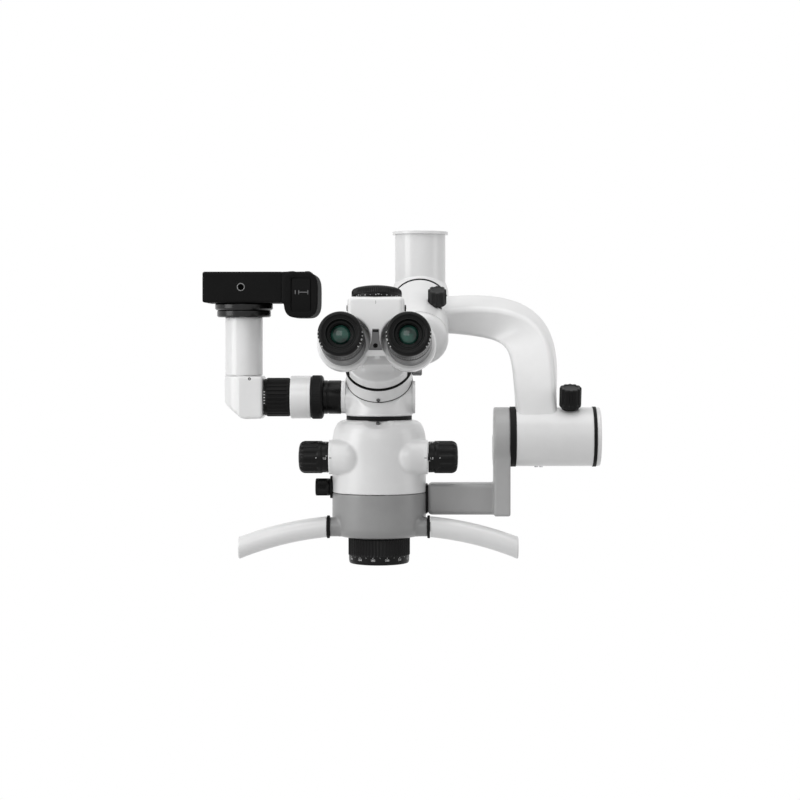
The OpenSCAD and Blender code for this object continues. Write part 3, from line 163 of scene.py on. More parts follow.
# Dark grey: painted shade on the ocular barrels and the bridge plate between the oculars, and a
# plain grey for the battery latch marks.
SHADE_AND_MARK_GREY = surface("shade_and_mark_grey", (0.13, 0.13, 0.132), (0.1, 0.1, 0.102), (0.34, 0.44),
                    coat=0.05, bump=0.1, stretch=(1, 1, 6))
SEAL = surface("seal_black", 0.007, 0.004, (0.5, 0.65), bump=0.2, spec=0.12)
KNOB = surface("knob_black", 0.007, 0.004, (0.28, 0.4), bump=0.35, grain=1600.0, spec=0.14)
KNOB_MATT = surface("knob_matt_black", 0.02, 0.014, (0.4, 0.5), bump=0.35, grain=1600.0, spec=0.2)
RUBBER = surface("grip_rubber_black", 0.007, 0.004, (0.4, 0.52), bump=0.5, grain=2200.0, spec=0.12)
ANODISED = surface("anodised_black", 0.004, 0.002, (0.24, 0.36), coat=0.03, spec=0.12,
                   bump=0.1, stretch=(8, 1, 1))
GLOSS = surface("mount_ring_gloss", 0.006, 0.003, (0.2, 0.28), coat=0.08, bump=0.03, spec=0.3)
STEEL = surface("turned_steel", (0.62, 0.62, 0.63), (0.48, 0.48, 0.49), (0.2, 0.34), metal=1.0,
                bump=0.25, grain=1200.0, stretch=(1, 1, 12))
ALLOY = surface("machined_alloy", (0.68, 0.68, 0.7), (0.58, 0.58, 0.6), (0.28, 0.38), metal=1.0,
                bump=0.2)
DARK_STEEL = surface("blackened_steel", 0.2, 0.14, (0.3, 0.42), metal=1.0, bump=0.2)
BRONZE = surface("bearing_bronze", (0.55, 0.38, 0.18), (0.42, 0.28, 0.12), (0.3, 0.42), metal=1.0,
                 bump=0.2)
CAM = surface("camera_shell", 0.007, 0.004, (0.62, 0.74), bump=0.45, grain=2600.0, spec=0.08)
SCREEN = surface("screen_gloss", (0.006, 0.006, 0.008), (0.003, 0.003, 0.004), (0.04, 0.07),
                 coat=1.0, bump=0.01)
MARK = surface("mark_white", 0.75, 0.65, (0.4, 0.5), bump=0.02)
INK = surface("mark_dark", 0.05, 0.03, (0.4, 0.5), bump=0.02)
# Each lens's second colour is its painted reflection: the lighter patches on the glass.
EYE_GLASS = coated_glass("eye_glass_coated", (0.004, 0.022, 0.017), (0.03, 0.12, 0.09))
LENS = coated_glass("lens_coated", (0.02, 0.05, 0.07), (0.1, 0.16, 0.22))

# ---- mesh helpers: points in mm in a local frame, meshes in metres in the row frame


def placed(name, data, at=(0, 0, 0)):
    """A new object in the scene."""
    ob = bpy.data.objects.new(name, data)
    ob.location = at
    bpy.context.scene.collection.objects.link(ob)
    return ob


def piece(name, form, local, body, mat, replaces=(), sharp=35):
    """Makes one named mesh of a form, riding a body, in place of CAD nodes or beside them."""
    me = bpy.data.meshes.new(name)
    me.from_pydata([tuple((local @ Vector(v)) * MM) for v in form[0]], [], form[1])
    me.materials.append(mat)
    bm = bmesh.new()
    bm.from_mesh(me)
    bmesh.ops.remove_doubles(bm, verts=bm.verts, dist=1e-7)
    bmesh.ops.recalc_face_normals(bm, faces=bm.faces)
    bm.to_mesh(me)
    bm.free()
    me.polygons.foreach_set("use_smooth", [True] * len(me.polygons))
    me.set_sharp_from_angle(angle=radians(sharp))
    ob = placed(name, me)
    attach(ob, body)
    if replaces:
        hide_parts(*replaces)


def soften(points, r, n=4, closed=True):
    """Rounds the corners of a profile, each by r or by its own third value."""
    out = []
    count = len(points)
    for i, p in enumerate(points):
        rad = p[2] if len(p) > 2 else r
        end = not closed and i in (0, count - 1)
        a, b, c = [Vector(q[:2]) for q in (points[i - 1], p, points[(i + 1) % count])]
        u, v = a - b, c - b
        lim = min(u.length, v.length) * 0.48
        ang = acos(max(-1.0, min(1.0, u.normalized().dot(v.normalized()))))
        if rad <= 0 or end or not radians(5) <= ang <= radians(175):
            out.append((p[0], p[1]))
            continue
        cut = min(rad / tan(ang / 2), lim)
        s, e = b + u.normalized() * cut, b + v.normalized() * cut
        for k in range(n + 1):
            t = k / n
            q = (1 - t) * (1 - t) * s + 2 * t * (1 - t) * b + t * t * e
            out.append((q.x, q.y))
    return out


def lathe(profile, seg=96, wave=None, closed=True):
    """Turns a (radius, height) profile about +Z; wave(angle, r, z) gives a radius."""
    verts, faces = [], []
    n = len(profile)
    for i in range(seg):
        a = TAU * i / seg
        for r, z in profile:
            rr = wave(a, r, z) if wave else r
            verts.append((rr * cos(a), rr * sin(a), z))
    for i in range(seg):
        j = (i + 1) % seg
        for k in range(n if closed else n - 1):
            m = (k + 1) % n
            if max(profile[k][0], profile[m][0]) > 1e-6:
                faces.append((i * n + k, j * n + k, j * n + m, i * n + m))
    return verts, faces


def solid_lathe(profile, seg=96, wave=None):
    """A profile that starts and ends on the axis."""
    return lathe(profile, seg, wave, closed=False)


def turned(points, r, seg=96, wave=None, step=1e9, n=4):
    """A solid of revolution whose corners are rounded."""
    return solid_lathe(finer(soften(points, r, n, closed=False), step), seg, wave)


def hollow(points, r, seg=96, wave=None, step=1e9, beyond=-1.0):
    """A ring whose corners are rounded."""
    return lathe(finer(soften(points, r), step, beyond, closed=True), seg, wave)


def plug(r, z0, z1, seg=32):
    """A plain round bar."""
    return solid_lathe([(0, z0), (r, z0), (r, z1), (0, z1)], seg)


def finer(profile, step, beyond=-1.0, closed=False):
    """Cuts a profile into short lengths beyond a radius, so that a wave can shape it."""
    out = []
    ends = profile[1:] + profile[:1] if closed else profile[1:]
    for (r0, z0), (r1, z1) in zip(profile, ends):
        n = max(1, int(abs(z1 - z0) / step)) if min(r0, r1) > beyond else 1
        out += [(r0 + (r1 - r0) * k / n, z0 + (z1 - z0) * k / n) for k in range(n)]
    return out if closed else out + profile[-1:]


def clamp(x):
    return max(0.0, min(1.0, x))


def ribs(count, deep, z0, z1, ease=1.0, end_ease=None, inner=1e-6, land=0.0, power=1.0):
    """A wave that cuts grooves between two heights, outside a radius, with lands between them."""
    def wave(a, r, z):
        if r < inner:
            return r
        fade = clamp((z - z0) / ease) * clamp((z1 - z) / (end_ease or ease))
        c = max(0.0, 0.5 - 0.5 * cos(a * count) - land) / (1 - land)
        return r - deep * fade * c ** power
    return wave


def loft(rings):
    """Skins rings of equal length in a row and closes both ends."""
    verts = [tuple(p) for ring in rings for p in ring]
    n = len(rings[0])
    faces = []
    for s in range(0, len(verts) - n, n):
        for i in range(n):
            j = (i + 1) % n
            faces.append((s + i, s + j, s + n + j, s + n + i))
    ends = [tuple(range(n - 1, -1, -1)), tuple(range(len(verts) - n, len(verts)))]
    return verts, faces + ends


def join(*parts):
    verts, faces = [], []
    for v, f in parts:
        k = len(verts)
        verts += list(v)
        faces += [tuple(i + k for i in face) for face in f]
    return verts, faces


def moved(part, m):
    return [tuple(m @ Vector(v)) for v in part[0]], part[1]


def layered(outline, e, lo, hi):
    """Outlines in a row from lo to hi, drawn in by e at both ends to soften the rims."""
    return loft([outline(e, lo), outline(e * 0.3, lo + e * 0.3), outline(0, lo + e),
                 outline(0, hi - e), outline(e * 0.3, hi - e * 0.3), outline(e, hi)])


def slab(w, d, h, r=0.6, n=3):
    """A plate with rounded corners and softened edges, centred, from z 0 to h."""
    def outline(inset, z):
        pts = []
        rr = max(r - inset, 0.05)
        hx, hy = w / 2 - inset - rr, d / 2 - inset - rr
        for q, (sx, sy) in enumerate(((1, 1), (-1, 1), (-1, -1), (1, -1))):
            for k in range(n + 1):
                a = (q + k / n) * pi / 2
                pts.append((sx * hx + rr * cos(a), sy * hy + rr * sin(a), z))
        return pts
    return layered(outline, min(r, h / 2) * 0.6, 0, h)


def nosed(w, t, long, e=0.3, n=12):
    """A plate along Y whose edge at -X is round, for a leaf that turns about that edge."""
    def outline(inset, y):
        r = t / 2 - inset
        right = w / 2 - inset
        pts = [(right - e, y, inset), (right, y, inset + e), (right, y, t - inset - e),
               (right - e, y, t - inset)]
        for k in range(n + 1):
            a = pi / 2 + pi * k / n
            pts.append((t / 2 - w / 2 + r * cos(a), y, t / 2 + r * sin(a)))
        return pts
    return layered(outline, e, -long / 2, long / 2)


# ---- signed distances, for the cast and moulded forms that blend into each other


def hyp(*a):
    return np.sqrt(sum(x * x for x in a))


def s_cyl(P, axis, c, r, half, rnd=1.0):
    """A cylinder along an axis, centred on c."""
    i = "XYZ".index(axis)
    q = [P[k] - c[k] for k in range(3)]
    w = q.pop(i)
    a = hyp(*q) - (r - rnd)
    b = np.abs(w) - (half - rnd)
    return np.minimum(np.maximum(a, b), 0) + hyp(np.maximum(a, 0), np.maximum(b, 0)) - rnd


def s_box(P, c, h, rnd=1.0):
    q = [np.abs(P[k] - c[k]) - (h[k] - rnd) for k in range(3)]
    inner = np.minimum(np.maximum(np.maximum(q[0], q[1]), q[2]), 0)
    return inner + hyp(*[np.maximum(x, 0) for x in q]) - rnd


def s_ball(P, c, r):
    return hyp(*[P[k] - c[k] for k in range(3)]) - r


def s_rod(P, a, b, r):
    """A rod with round ends from a to b."""
    run = [b[k] - a[k] for k in range(3)]
    t = np.clip(sum((P[k] - a[k]) * run[k] for k in range(3)) / sum(x * x for x in run), 0.0, 1.0)
    return hyp(*[P[k] - a[k] - t * run[k] for k in range(3)]) - r


def s_plane(P, c, normal):
    n = Vector(normal).normalized()
    return sum((P[k] - c[k]) * n[k] for k in range(3))


def s_turned(P, poly):
    """A polygon in (radius, z) turned about Z."""
    r, z = hyp(P[0], P[1]), P[2]
    d = np.full(r.shape, 1e18)
    s = np.ones(r.shape)
    n = len(poly)
    for i in range(n):
        ax, ay = poly[i]
        bx, by = poly[i - 1]
        ex, ey = bx - ax, by - ay
        wx, wy = r - ax, z - ay
        t = np.clip((wx * ex + wy * ey) / (ex * ex + ey * ey + 1e-12), 0, 1)
        d = np.minimum(d, (wx - ex * t) ** 2 + (wy - ey * t) ** 2)
        c1, c2, c3 = z >= ay, z < by, ex * wy > ey * wx
        flip = (c1 & c2 & c3) | (~c1 & ~c2 & ~c3)
        s = np.where(flip, -s, s)
    return s * np.sqrt(d)


def warp(P, m):
    """Points seen from a frame placed at m."""
    a = np.array(m.inverted())
    return [a[k][0] * P[0] + a[k][1] * P[1] + a[k][2] * P[2] + a[k][3] for k in range(3)]


def blend(a, b, k):
    h = np.clip(0.5 + 0.5 * (b - a) / k, 0, 1)
    return b * (1 - h) + a * h - k * h * (1 - h)


def carve(a, b, k):
    return -blend(-a, b, k)


def keep(a, b, k):
    return -blend(-a, -b, k)


def cut(d, *tools):
    """Takes shapes out of d with sharp edges."""
    for tool in tools:
        d = np.maximum(d, -tool)
    return d


CORNERS = list(np.ndindex(2, 2, 2))
EDGES = [(a, b) for a in range(8) for b in range(a + 1, 8)
         if sum(abs(CORNERS[a][k] - CORNERS[b][k]) for k in range(3)) == 1]


def skin(sdf, lo, hi, cell):
    """The surface where sdf is zero: one point per cell that it crosses, settled on the surface."""
    lo, hi = np.array(lo, float), np.array(hi, float)
    n = np.ceil((hi - lo) / cell).astype(int) + 1
    grid = np.meshgrid(*[lo[k] + cell * np.arange(n[k]) for k in range(3)], indexing="ij")
    d = sdf(grid)
    inside = d < 0

    def corner(arr, c):
        return arr[tuple(slice(c[k], n[k] - 1 + c[k]) for k in range(3))]
    count = sum(corner(inside, c).astype(int) for c in CORNERS)
    active = (count > 0) & (count < 8)
    idx = -np.ones(active.shape, int)
    idx[active] = np.arange(active.sum())
    base = np.argwhere(active)
    pos = np.zeros((len(base), 3))
    hits = np.zeros(len(base))
    vals = [corner(d, c)[active] for c in CORNERS]
    for a, b in EDGES:
        da, db = vals[a], vals[b]
        cross = (da < 0) != (db < 0)
        t = np.where(cross, da / np.where(cross, da - db, 1), 0)
        pa, pb = np.array(CORNERS[a], float), np.array(CORNERS[b], float)
        pos[cross] += pa + t[cross, None] * (pb - pa)
        hits[cross] += 1
    pos = lo + cell * (base + pos / hits[:, None])
    eps = cell * 0.05
    for _ in range(4):
        p = [pos[:, k] for k in range(3)]
        v = sdf(p)
        ahead = [sdf([p[j] + (eps if j == k else 0) for j in range(3)]) for k in range(3)]
        g = np.stack([x - v for x in ahead], 1) / eps
        step = v / np.maximum((g * g).sum(1), 0.2)
        pos = pos - np.clip(step, -cell, cell)[:, None] * g * 0.9
    faces = []
    for ax in range(3):
        u, w = [k for k in range(3) if k != ax]
        for e in np.argwhere(np.diff(inside, axis=ax)):
            if e[u] < 1 or e[w] < 1 or e[u] >= n[u] - 1 or e[w] >= n[w] - 1:
                continue
            q = []
            for du, dw in ((0, 0), (1, 0), (1, 1), (0, 1)):
                c = list(e)
                c[u] -= du
                c[w] -= dw
                q.append(int(idx[tuple(c)]))
            faces.append(tuple(q))
    return [tuple(v) for v in pos], faces


# ---- numerals for the dials, as thin raised shapes
PROUD = 0.03


@cache
def glyph(text):
    cu = bpy.data.curves.new("glyph", "FONT")
    cu.body = text
    cu.size = 1.0
    cu.align_x = cu.align_y = "CENTER"
    cu.extrude = 0.02
    cu.resolution_u = 3
    ob = placed("glyph", cu)
    dg = bpy.context.evaluated_depsgraph_get()
    dg.update()
    me = bpy.data.meshes.new_from_object(ob.evaluated_get(dg))
    form = [tuple(v.co) for v in me.vertices], [tuple(p.vertices) for p in me.polygons]
    bpy.data.objects.remove(ob)
    bpy.data.curves.remove(cu)
    bpy.data.meshes.remove(me)
    return form


def on_drum(part, r, angle, z, size=1.0, spin=0.0):
    """Wraps a flat shape round a drum about +Z: x runs round it, y runs along +Z."""
    out = []
    c, s = cos(radians(spin)), sin(radians(spin))
    for x, y, h in part[0]:
        x, y = (x * c - y * s) * size, (x * s + y * c) * size
        a = angle + x / r
        rr = r + PROUD + h
        out.append((rr * cos(a), rr * sin(a), z + y))
    return out, part[1]


def dash(w, h):
    """A short painted line, wrapped as a shape of its own."""
    n = 6
    v = [(-w / 2 + w * i / n, s * h / 2, t) for t in (0, 0.06) for s in (-1, 1)
         for i in range(n + 1)]
    m = n + 1
    f = []
    for i in range(n):
        f += [(i, i + 1, m + i + 1, m + i), (2 * m + i, 3 * m + i, 3 * m + i + 1, 2 * m + i + 1),
              (i, 2 * m + i, 2 * m + i + 1, i + 1), (m + i, m + i + 1, 3 * m + i + 1, 3 * m + i)]
    f += [(0, m, 3 * m, 2 * m), (n, 2 * m + n, 3 * m + n, m + n)]
    return v, f


def socket_screw(d, h, key=0.45, seg=32):
    """A screw head with a rounded rim and a six-sided socket."""
    r = d / 2
    k = r * key
    outer = soften([(k, h * 0.3, 0), (k, h, 0), (r, h), (r, 0, 0)], r * 0.2, closed=False)
    v, f = [], []
    n = len(outer)
    for i in range(seg):
        a = TAU * i / seg
        hexr = k / cos((a + pi / 6) % (pi / 3) - pi / 6)
        for q, z in outer:
            rr = hexr if q <= k + 1e-6 else q
            v.append((rr * cos(a), rr * sin(a), z))
    for i in range(seg):
        j = (i + 1) % seg
        for m in range(n - 1):
            f.append((i * n + m, j * n + m, j * n + m + 1, i * n + m + 1))
    f.append(tuple(i * n for i in range(seg)))
    f.append(tuple(i * n + n - 1 for i in range(seg - 1, -1, -1)))
    return v, f

# ---- suspension: roll cap, arm, tilt cap, knobs, bracket
JOINT_R = 31.0
ROLL_END = 2.6 + 75.8
DOME_STEPS, DOME_HIGH, DOME_POWER = 24, 12.5, 2 / 2.35

dome = [(0.0, ROLL_END + 0.5), (JOINT_R - 0.6, ROLL_END + 0.5), (JOINT_R, ROLL_END + 1.1)]
for k in range(DOME_STEPS + 1):
    t = k / DOME_STEPS * pi / 2
    dome.append((JOINT_R * max(cos(t), 0) ** DOME_POWER,
                 ROLL_END + 3.0 + DOME_HIGH * sin(t) ** DOME_POWER))
piece("roll_cap_dome", solid_lathe(dome, 128), ROLL, "swing_arm", WHITE, ["roll_cap"],
      sharp=50)


def arm_curve(a, d, ahead, back):
    """Four control points from a to d; ahead and back place the inner two, as shares of the run."""
    run = (d[0] - a[0], a[1] - d[1], a[2] - d[2])
    c1 = [a[k] + run[k] * ahead[k] for k in range(3)]
    c2 = [d[k] - (1, -1, -1)[k] * run[k] * back[k] for k in range(3)]
    return a, c1, c2, d


def bez(p, t):
    w = ((1 - t) ** 3, 3 * (1 - t) ** 2 * t, 3 * (1 - t) * t * t, t ** 3)
    return Vector([sum(w[i] * p[i][k] for i in range(4)) for k in range(3)])


def arm_rings(steps=72, corner=8, edge=7.0, width=42.0):
    """Rounded sections between the arm's outer and inner line, from roll cap to tilt cap."""
    ra = radians(LEAN)
    root = Vector((20, -(ROLL_OUT + 26) * cos(ra), ROLL_Z - (ROLL_OUT + 26) * sin(ra)))
    foot = Vector((124, HEAD_Y, TILT_Z + 20))
    up = Vector((0, -sin(ra), cos(ra)))
    side = Vector((1, 0, 0))
    outer = arm_curve(root + up * 14, foot + side * 22, (1.25, 0, 0.19), (0.05, 0.28, 0.33))
    inner = arm_curve(root - up * 14, foot - side * 22, (1.13, 0, -0.11), (0.07, 0.28, 0.92))
    rings = []
    for s in range(steps + 1):
        t = s / steps
        a, b = bez(outer, t), bez(inner, t)
        mid, out = (a + b) / 2, (a - b).normalized()
        f0 = Vector((0, -cos(ra * (1 - t)), -sin(ra * (1 - t))))
        front = (f0 - out * f0.dot(out)).normalized()
        hx, hy = width / 2, (a - b).length / 2
        ring = []
        for q in range(4):
            sx = 1 if q in (0, 3) else -1
            sy = 1 if q < 2 else -1
            for i in range(corner + 1):
                ang = radians(q * 90 + i * 90 / corner)
                ring.append(mid + front * (sx * (hx - edge) + edge * cos(ang))
                            + out * (sy * (hy - edge) + edge * sin(ang)))
        rings.append(ring)
    return rings


piece("arm_casting", loft(arm_rings()), Matrix(), "swing_arm", WHITE, ["curved_arm"],
      sharp=60)

CAP_Z = 6.4 + 80.2 + 3.6
cap = [(0, CAP_Z, 0), (JOINT_R, CAP_Z, 0.3), (JOINT_R, CAP_Z + 4.6, 3.6), (0, CAP_Z + 4.6, 0)]
piece("tilt_cap_cover", turned(cap, 1, 128, n=8), TILT, "swing_arm", WHITE, ["tilt_cap"])


def lobed_knob(d, h, lobes, deep, z0):
    """A knob with finger lobes that starts at z0 and is dished on top."""
    r, top = d / 2, z0 + h
    prof = [(0, z0, 0), (r - 0.8, z0, 0.5), (r, z0 + 0.8, 0.8), (r, top, 2.4), (r * 0.7, top, 0.8),
            (r * 0.62, top - 0.7, 0.8), (0, top - 0.7, 0)]
    wave = ribs(lobes, deep, z0 + h * 0.12, top + 2.0, 2.0, inner=r * 0.8, land=0.35, power=0.5)
    return turned(prof, 1.0, lobes * 16, wave, 1.2, 5)


KNOB1 = ROLL @ shift(19, 0, 50) @ turn(-90, "X")
piece("roll_brake_knob", join(lobed_knob(19.8, 17, 8, 1.5, 25.7), plug(4, 5.4, 25.7)), KNOB1,
      "roll_knob", KNOB_MATT, ["roll_knob"])

KNOB2 = TILT @ shift(0, 0, 158.2 - TILT_X) @ turn(20, "Z") @ turn(-90, "Y")
collar = turned([(0, 32.2, 0), (9.2, 32.2, 0.4), (9.2, 34.6, 0), (0, 34.6, 0)], 0.3)
piece("tilt_brake_knob", join(lobed_knob(23, 21, 12, 1.3, 34.6), collar, plug(4, 19.4, 32.2)),
      KNOB2, "tilt_knob", KNOB, ["tilt_knob"])

grubs = [moved(socket_screw(4, 3.2), shift(0, 0, z) @ turn(90, "Y") @ shift(0, 0, 29))
         for z in (28, 33)]
piece("tilt_grub_screws", join(*grubs), TILT, "swing_arm", STEEL, ["tilt_set_screws"])

PLATE_X, BAR_Y, BAR_Z = 86.9, -108, -287.5


def bracket(P):
    """A round-topped plate with a bar toward the pod."""
    disc = s_cyl(P, "X", (PLATE_X, HEAD_Y, TILT_Z), JOINT_R, 8.5, 1.6)
    plate = s_box(P, (PLATE_X, HEAD_Y, -263), (8.5, 25, 41), 1.6)
    bar = s_box(P, (47.2, BAR_Y, BAR_Z), (38, 14, 16.5), 4.5)
    d = blend(blend(disc, plate, 3.0), bar, 2.0)
    return cut(d, s_cyl(P, "X", (95, HEAD_Y, TILT_Z), 14.05, 12, 0.1))


piece("bracket_casting", skin(bracket, (7, -148, -307), (98, -82, -189), 1.5), Matrix(), "head",
      SILVER_PAINT, ["l_bracket"], sharp=60)

# ---- pod: upper shell with its side bosses, lower shell, knobs, handles
POD_R, BOSS_R = 49.2, 17.9
SHOULDER = [(0, 0), (35.5, 0), (40.5, -1.4), (44.0, -4.0), (46.4, -8.5), (47.9, -13), (48.8, -18),
            (POD_R, -24)]


def pod_upper(P):
    """The shell with its shoulder, two bosses leaning in at the front, and the screw's recess."""
    body = s_turned(P, SHOULDER + [(POD_R, -75.7), (0, -75.7)])
    boss = s_cyl(P, "X", ZOOM_AT, BOSS_R, 51.4, 1.0)
    for s in (-1, 1):
        lean = s_rod(P, (s * 31, -29, -38), (s * 45, -25, -38), BOSS_R)
        boss = np.minimum(boss, keep(lean, s * P[0] - 50, 0.5))
    d = carve(blend(body, boss, 1.6), s_ball(P, (0, -62.6, 43.9), 54.3), 0.6)
    light = s_cyl(P, "X", (-50, 0, LIGHT_Z), 3.6, 20, 0.1)
    way = s_cyl(P, "Z", (0, 0, 0), 24, 3.5, 0.1)
    return cut(d, s_cyl(P, "X", ZOOM_AT, 4.6, 60, 0.1), light, way)


piece("pod_upper_casting", skin(pod_upper, (-53, -51, -77.5), (53, 51, 2), 1.1), POD, "head", WHITE,
      ["pod_upper_shell"], sharp=55)

LOW = [(0, -122)]
LOW += [(39.2 + 10 * sin(k * pi / 16), -112 - 10 * cos(k * pi / 16)) for k in range(9)]
LOW += [(POD_R, -76.2), (0, -76.2)]
HOLLOW = [(0, -117.5), (40.5, -117.5), (43, -113), (43, -70), (0, -70)]


def pod_lower(P):
    """The grey shell, hollow, with the bosses of the handles."""
    d = s_turned(P, LOW)
    for s in (-1, 1):
        d = blend(d, s_cyl(P, "X", (s * 45.3, *HANDLE_AT[1:]), 10, 5.3, 0.3), 2.2)
    return cut(d, s_turned(P, HOLLOW), s_cyl(P, "Z", (0, 0, -120), 30, 6, 0.1),
               s_cyl(P, "X", HANDLE_AT, 5.3, 60, 0.1))


piece("pod_lower_casting", skin(pod_lower, (-53, -52, -124), (53, 52, -74.5), 1.2), POD, "head",
      GREY, ["pod_lower_shell"], sharp=50)

piece("pod_ring_screw", moved(socket_screw(4.4, 4.5), shift(0, -33.6, -5.0) @ turn(48, "X")), POD,
      "head", DARK_STEEL)

ZOOM_HALF, ZOOM_R = 51.9, 16.8
BAND_R = ZOOM_R * 0.955


def facing(sign):
    """The knob on the other side is the same one turned about."""
    return (Matrix() if sign > 0 else turn(180, "Y")) @ shift(0, 0, ZOOM_HALF)


def zoom_knob(sign):
    """A number band and a fluted grip with a domed end."""
    r = ZOOM_R
    band = hollow([(4, 0, 0), (BAND_R, 0, 0.4), (BAND_R, 6.6, 0.3), (4, 6.6, 0)], 0.3, 120)
    prof = [(0, 6.0), (r * 0.9, 6.0), (r * 0.985, 6.4)]
    prof += [(r, 7.2 + k * 0.9) for k in range(20)]
    prof += [(r - 0.25, 25.6), (r - 0.9, 27.2), (r - 2.0, 28.6), (r - 3.6, 29.7), (r - 6.5, 30.4),
             (r - 10, 30.8), (0, 31.0)]
    wave = ribs(12, 1.5, 9.5, 30.5, 2.5, 3.0, inner=r * 0.82, land=0.3, power=0.6)
    return moved(join(band, solid_lathe(prof, 192, wave=wave)), facing(sign))


piece("zoom_knob_grips", join(zoom_knob(1), zoom_knob(-1)), ZOOM, "zoom_drum", KNOB, ["zoom_knobs"])

marks = []
for sign in (1, -1):
    for k, word in enumerate(("0.4", "0.6", "1.0", "1.6", "2.5")):
        a = radians(-90 + sign * 2 + (k - 2) * 72)
        marks.append(moved(on_drum(glyph(word), BAND_R, a, 3.4, 3.2, spin=90 * sign), facing(sign)))
        marks.append(moved(on_drum(dash(0.5, 1.6), BAND_R, a + 0.16, 1.2), facing(sign)))
    marks.append(moved(on_drum(dash(0.9, 0.9), ZOOM_R, FRONT, 12.0), facing(sign)))
piece("zoom_dial_numbers", join(*marks), ZOOM, "zoom_drum", MARK)

marks = [on_drum(dash(0.7, 2.6), BOSS_R + 0.02, FRONT, s * POD_R) for s in (1, -1)]
piece("zoom_index_marks", join(*marks), ZOOM, "head", INK)

prof = [(0, 2.6, 0), (8.5, 2.6, 0.4), (9.1, 3.4, 0.4), (9.1, 17.6, 1.3), (6.6, 17.6, 0.4),
        (6.2, 17.1, 0.4), (0, 17.1, 0)]
grip = turned(prof, 0.4, 36 * 6, ribs(36, 0.45, 4.6, 16.6, 0.8), 1.0)
piece("light_knob_grip", join(grip, plug(3, -11.5, 2.6)), LIGHT @ shift(0, 0, POD_R), "light_knob",
      KNOB, ["light_knob"])

# Handles: a curved grip with a rounded, slanted end on each side
START, BEND, SLOPE, SWEEP, GRIP_R, REACH = 54.0, 334.0, 5.5, 17.0, 10.8, 144.2


def handle(sign):
    """Rings along the grip's arc, sheared toward the square cut at both ends, and a rounded rim."""
    rings = []
    steps, seg = 60, 48
    slope = radians(SLOPE)
    for s in range(steps + 1):
        ang = radians(SLOPE + SWEEP * s / steps)
        mid = Vector((START + BEND * (sin(ang) - sin(slope)), 0, BEND * (cos(ang) - cos(slope))))
        along = Vector((cos(ang), 0, -sin(ang)))
        ring = []
        for i in range(seg):
            a = TAU * i / seg
            p = mid + Vector((sin(ang), 0, cos(ang))) * (GRIP_R * sin(a))
            p += Vector((0, 1, 0)) * (GRIP_R * cos(a))
            if s < steps and (p.x < START or s == 0):
                p += along * ((START - p.x) / along.x)
            if s > 0 and (p.x >= REACH or s == steps):
                p += along * ((REACH - p.x) / along.x)
            ring.append(p)
        rings.append(ring)
    last = rings[steps]
    mid = sum(last, Vector()) / seg
    for k in range(1, 7):
        t = k / 6 * pi / 2
        rings.append([mid + (p - mid) * (1 - 0.14 * (1 - cos(t))) + Vector((1.4 * sin(t), 0, 0))
                      for p in last])
    rings = [[Vector((sign * p.x, p.y, p.z)) for p in ring] for ring in rings]
    return join(loft(rings), moved(plug(5, 30, 54.2, 40), turn(90 * sign, "Y")))


for sign, side in ((1, "right"), (-1, "left")):
    piece("handle_grip_" + side, handle(sign), POD @ shift(*HANDLE_AT), "handle_" + side, WARM,
          ["handle_" + side], sharp=50)

# Collars, light flange and bracket seal, with rounded rims
prof = [(5.05, 50.7, 0), (11.4, 50.7, 0.4), (11.9, 51.4, 0.4), (11.9, 53.6, 0.6), (5.05, 53.6, 0)]
collar = hollow(prof, 0.3)
flange = hollow([(3.5, 46, 0), (11.8, 46, 0), (11.8, 51.4, 0.5), (3.5, 51.4, 0)], 0.3)
seal_at = POD.inverted() @ shift(3.4, BAR_Y, BAR_Z) @ turn(90, "Y") @ turn(90, "Z")
collars = [moved(collar, shift(*HANDLE_AT) @ turn(90 * sign, "Y")) for sign in (1, -1)]
flange = moved(flange, shift(0, 0, LIGHT_Z) @ turn(-90, "Y"))
piece("pod_collar_rings", join(*collars, flange, moved(slab(26, 31, 6, 4), seal_at)), POD, "head",
      SEAL, ["pod_collars"])

# Focus ring: knurled drum with a number band below
prof = [(27.5, -150.6, 0.6), (28.6, -150.6, 0.3), (31.0, -150.2, 2.0), (31.6, -147.6, 0.4),
        (31.75, -142.2, 0.3), (32.35, -141.6, 0.3), (32.4, -124.6, 0.6), (31.4, -123.8, 0.3),
        (31.4, -122.5, 0.2), (29.5, -122.5, 0), (29.5, -117.9, 0), (33.0, -117.9, 0),
        (33.0, -115.9, 0), (27.5, -115.9, 0)]
wave = ribs(60, 0.9, -141.8, -124.0, 0.8, inner=31.9, power=0.7)
piece("focus_ring_grip", hollow(prof, 0.3, 480, wave, 1.0, 31.9), POD, "focus_ring", KNOB,
      ["focus_ring"])
marks = []
for k, word in enumerate(("200", "220", "240", "260", "280", "300", "320", "350", "400")):
    a = FRONT + radians(k * 27 - 118)
    marks.append(on_drum(glyph(word), 31.72, a, -145.2, 3.1))
    marks.append(on_drum(dash(0.35, 1.3), 31.76, a, -142.9))
    if k:
        marks.append(on_drum(dash(0.3, 0.9), 31.76, a - radians(13.5), -142.7))
piece("focus_numbers", join(*marks), POD, "focus_ring", MARK)

LENS_Z, LENS_R = -150.6 + 7 + 3, 24
prof = [(LENS_R * k / 10, LENS_Z + 3.4 * (k / 10) ** 2) for k in range(11)]
prof += [(LENS_R, LENS_Z + 9), (0, LENS_Z + 9)]
piece("objective_glass", solid_lathe(prof, 96), POD, "objective_cell", LENS, ["objective_lens"])

# ---- beam splitter, inclined joint and knuckle
WAIST = [(0, -200), (34, -200), (34, -198), (32.6, -195), (31.0, -190.5), (30.2, -185),
         (30.2, -176), (31.4, -166), (33.4, -154), (34.4, -140), (34.4, -120), (0, -120)]
RING_LOW, RING_HIGH, RING_R = 0.4, 17.4, 34.7


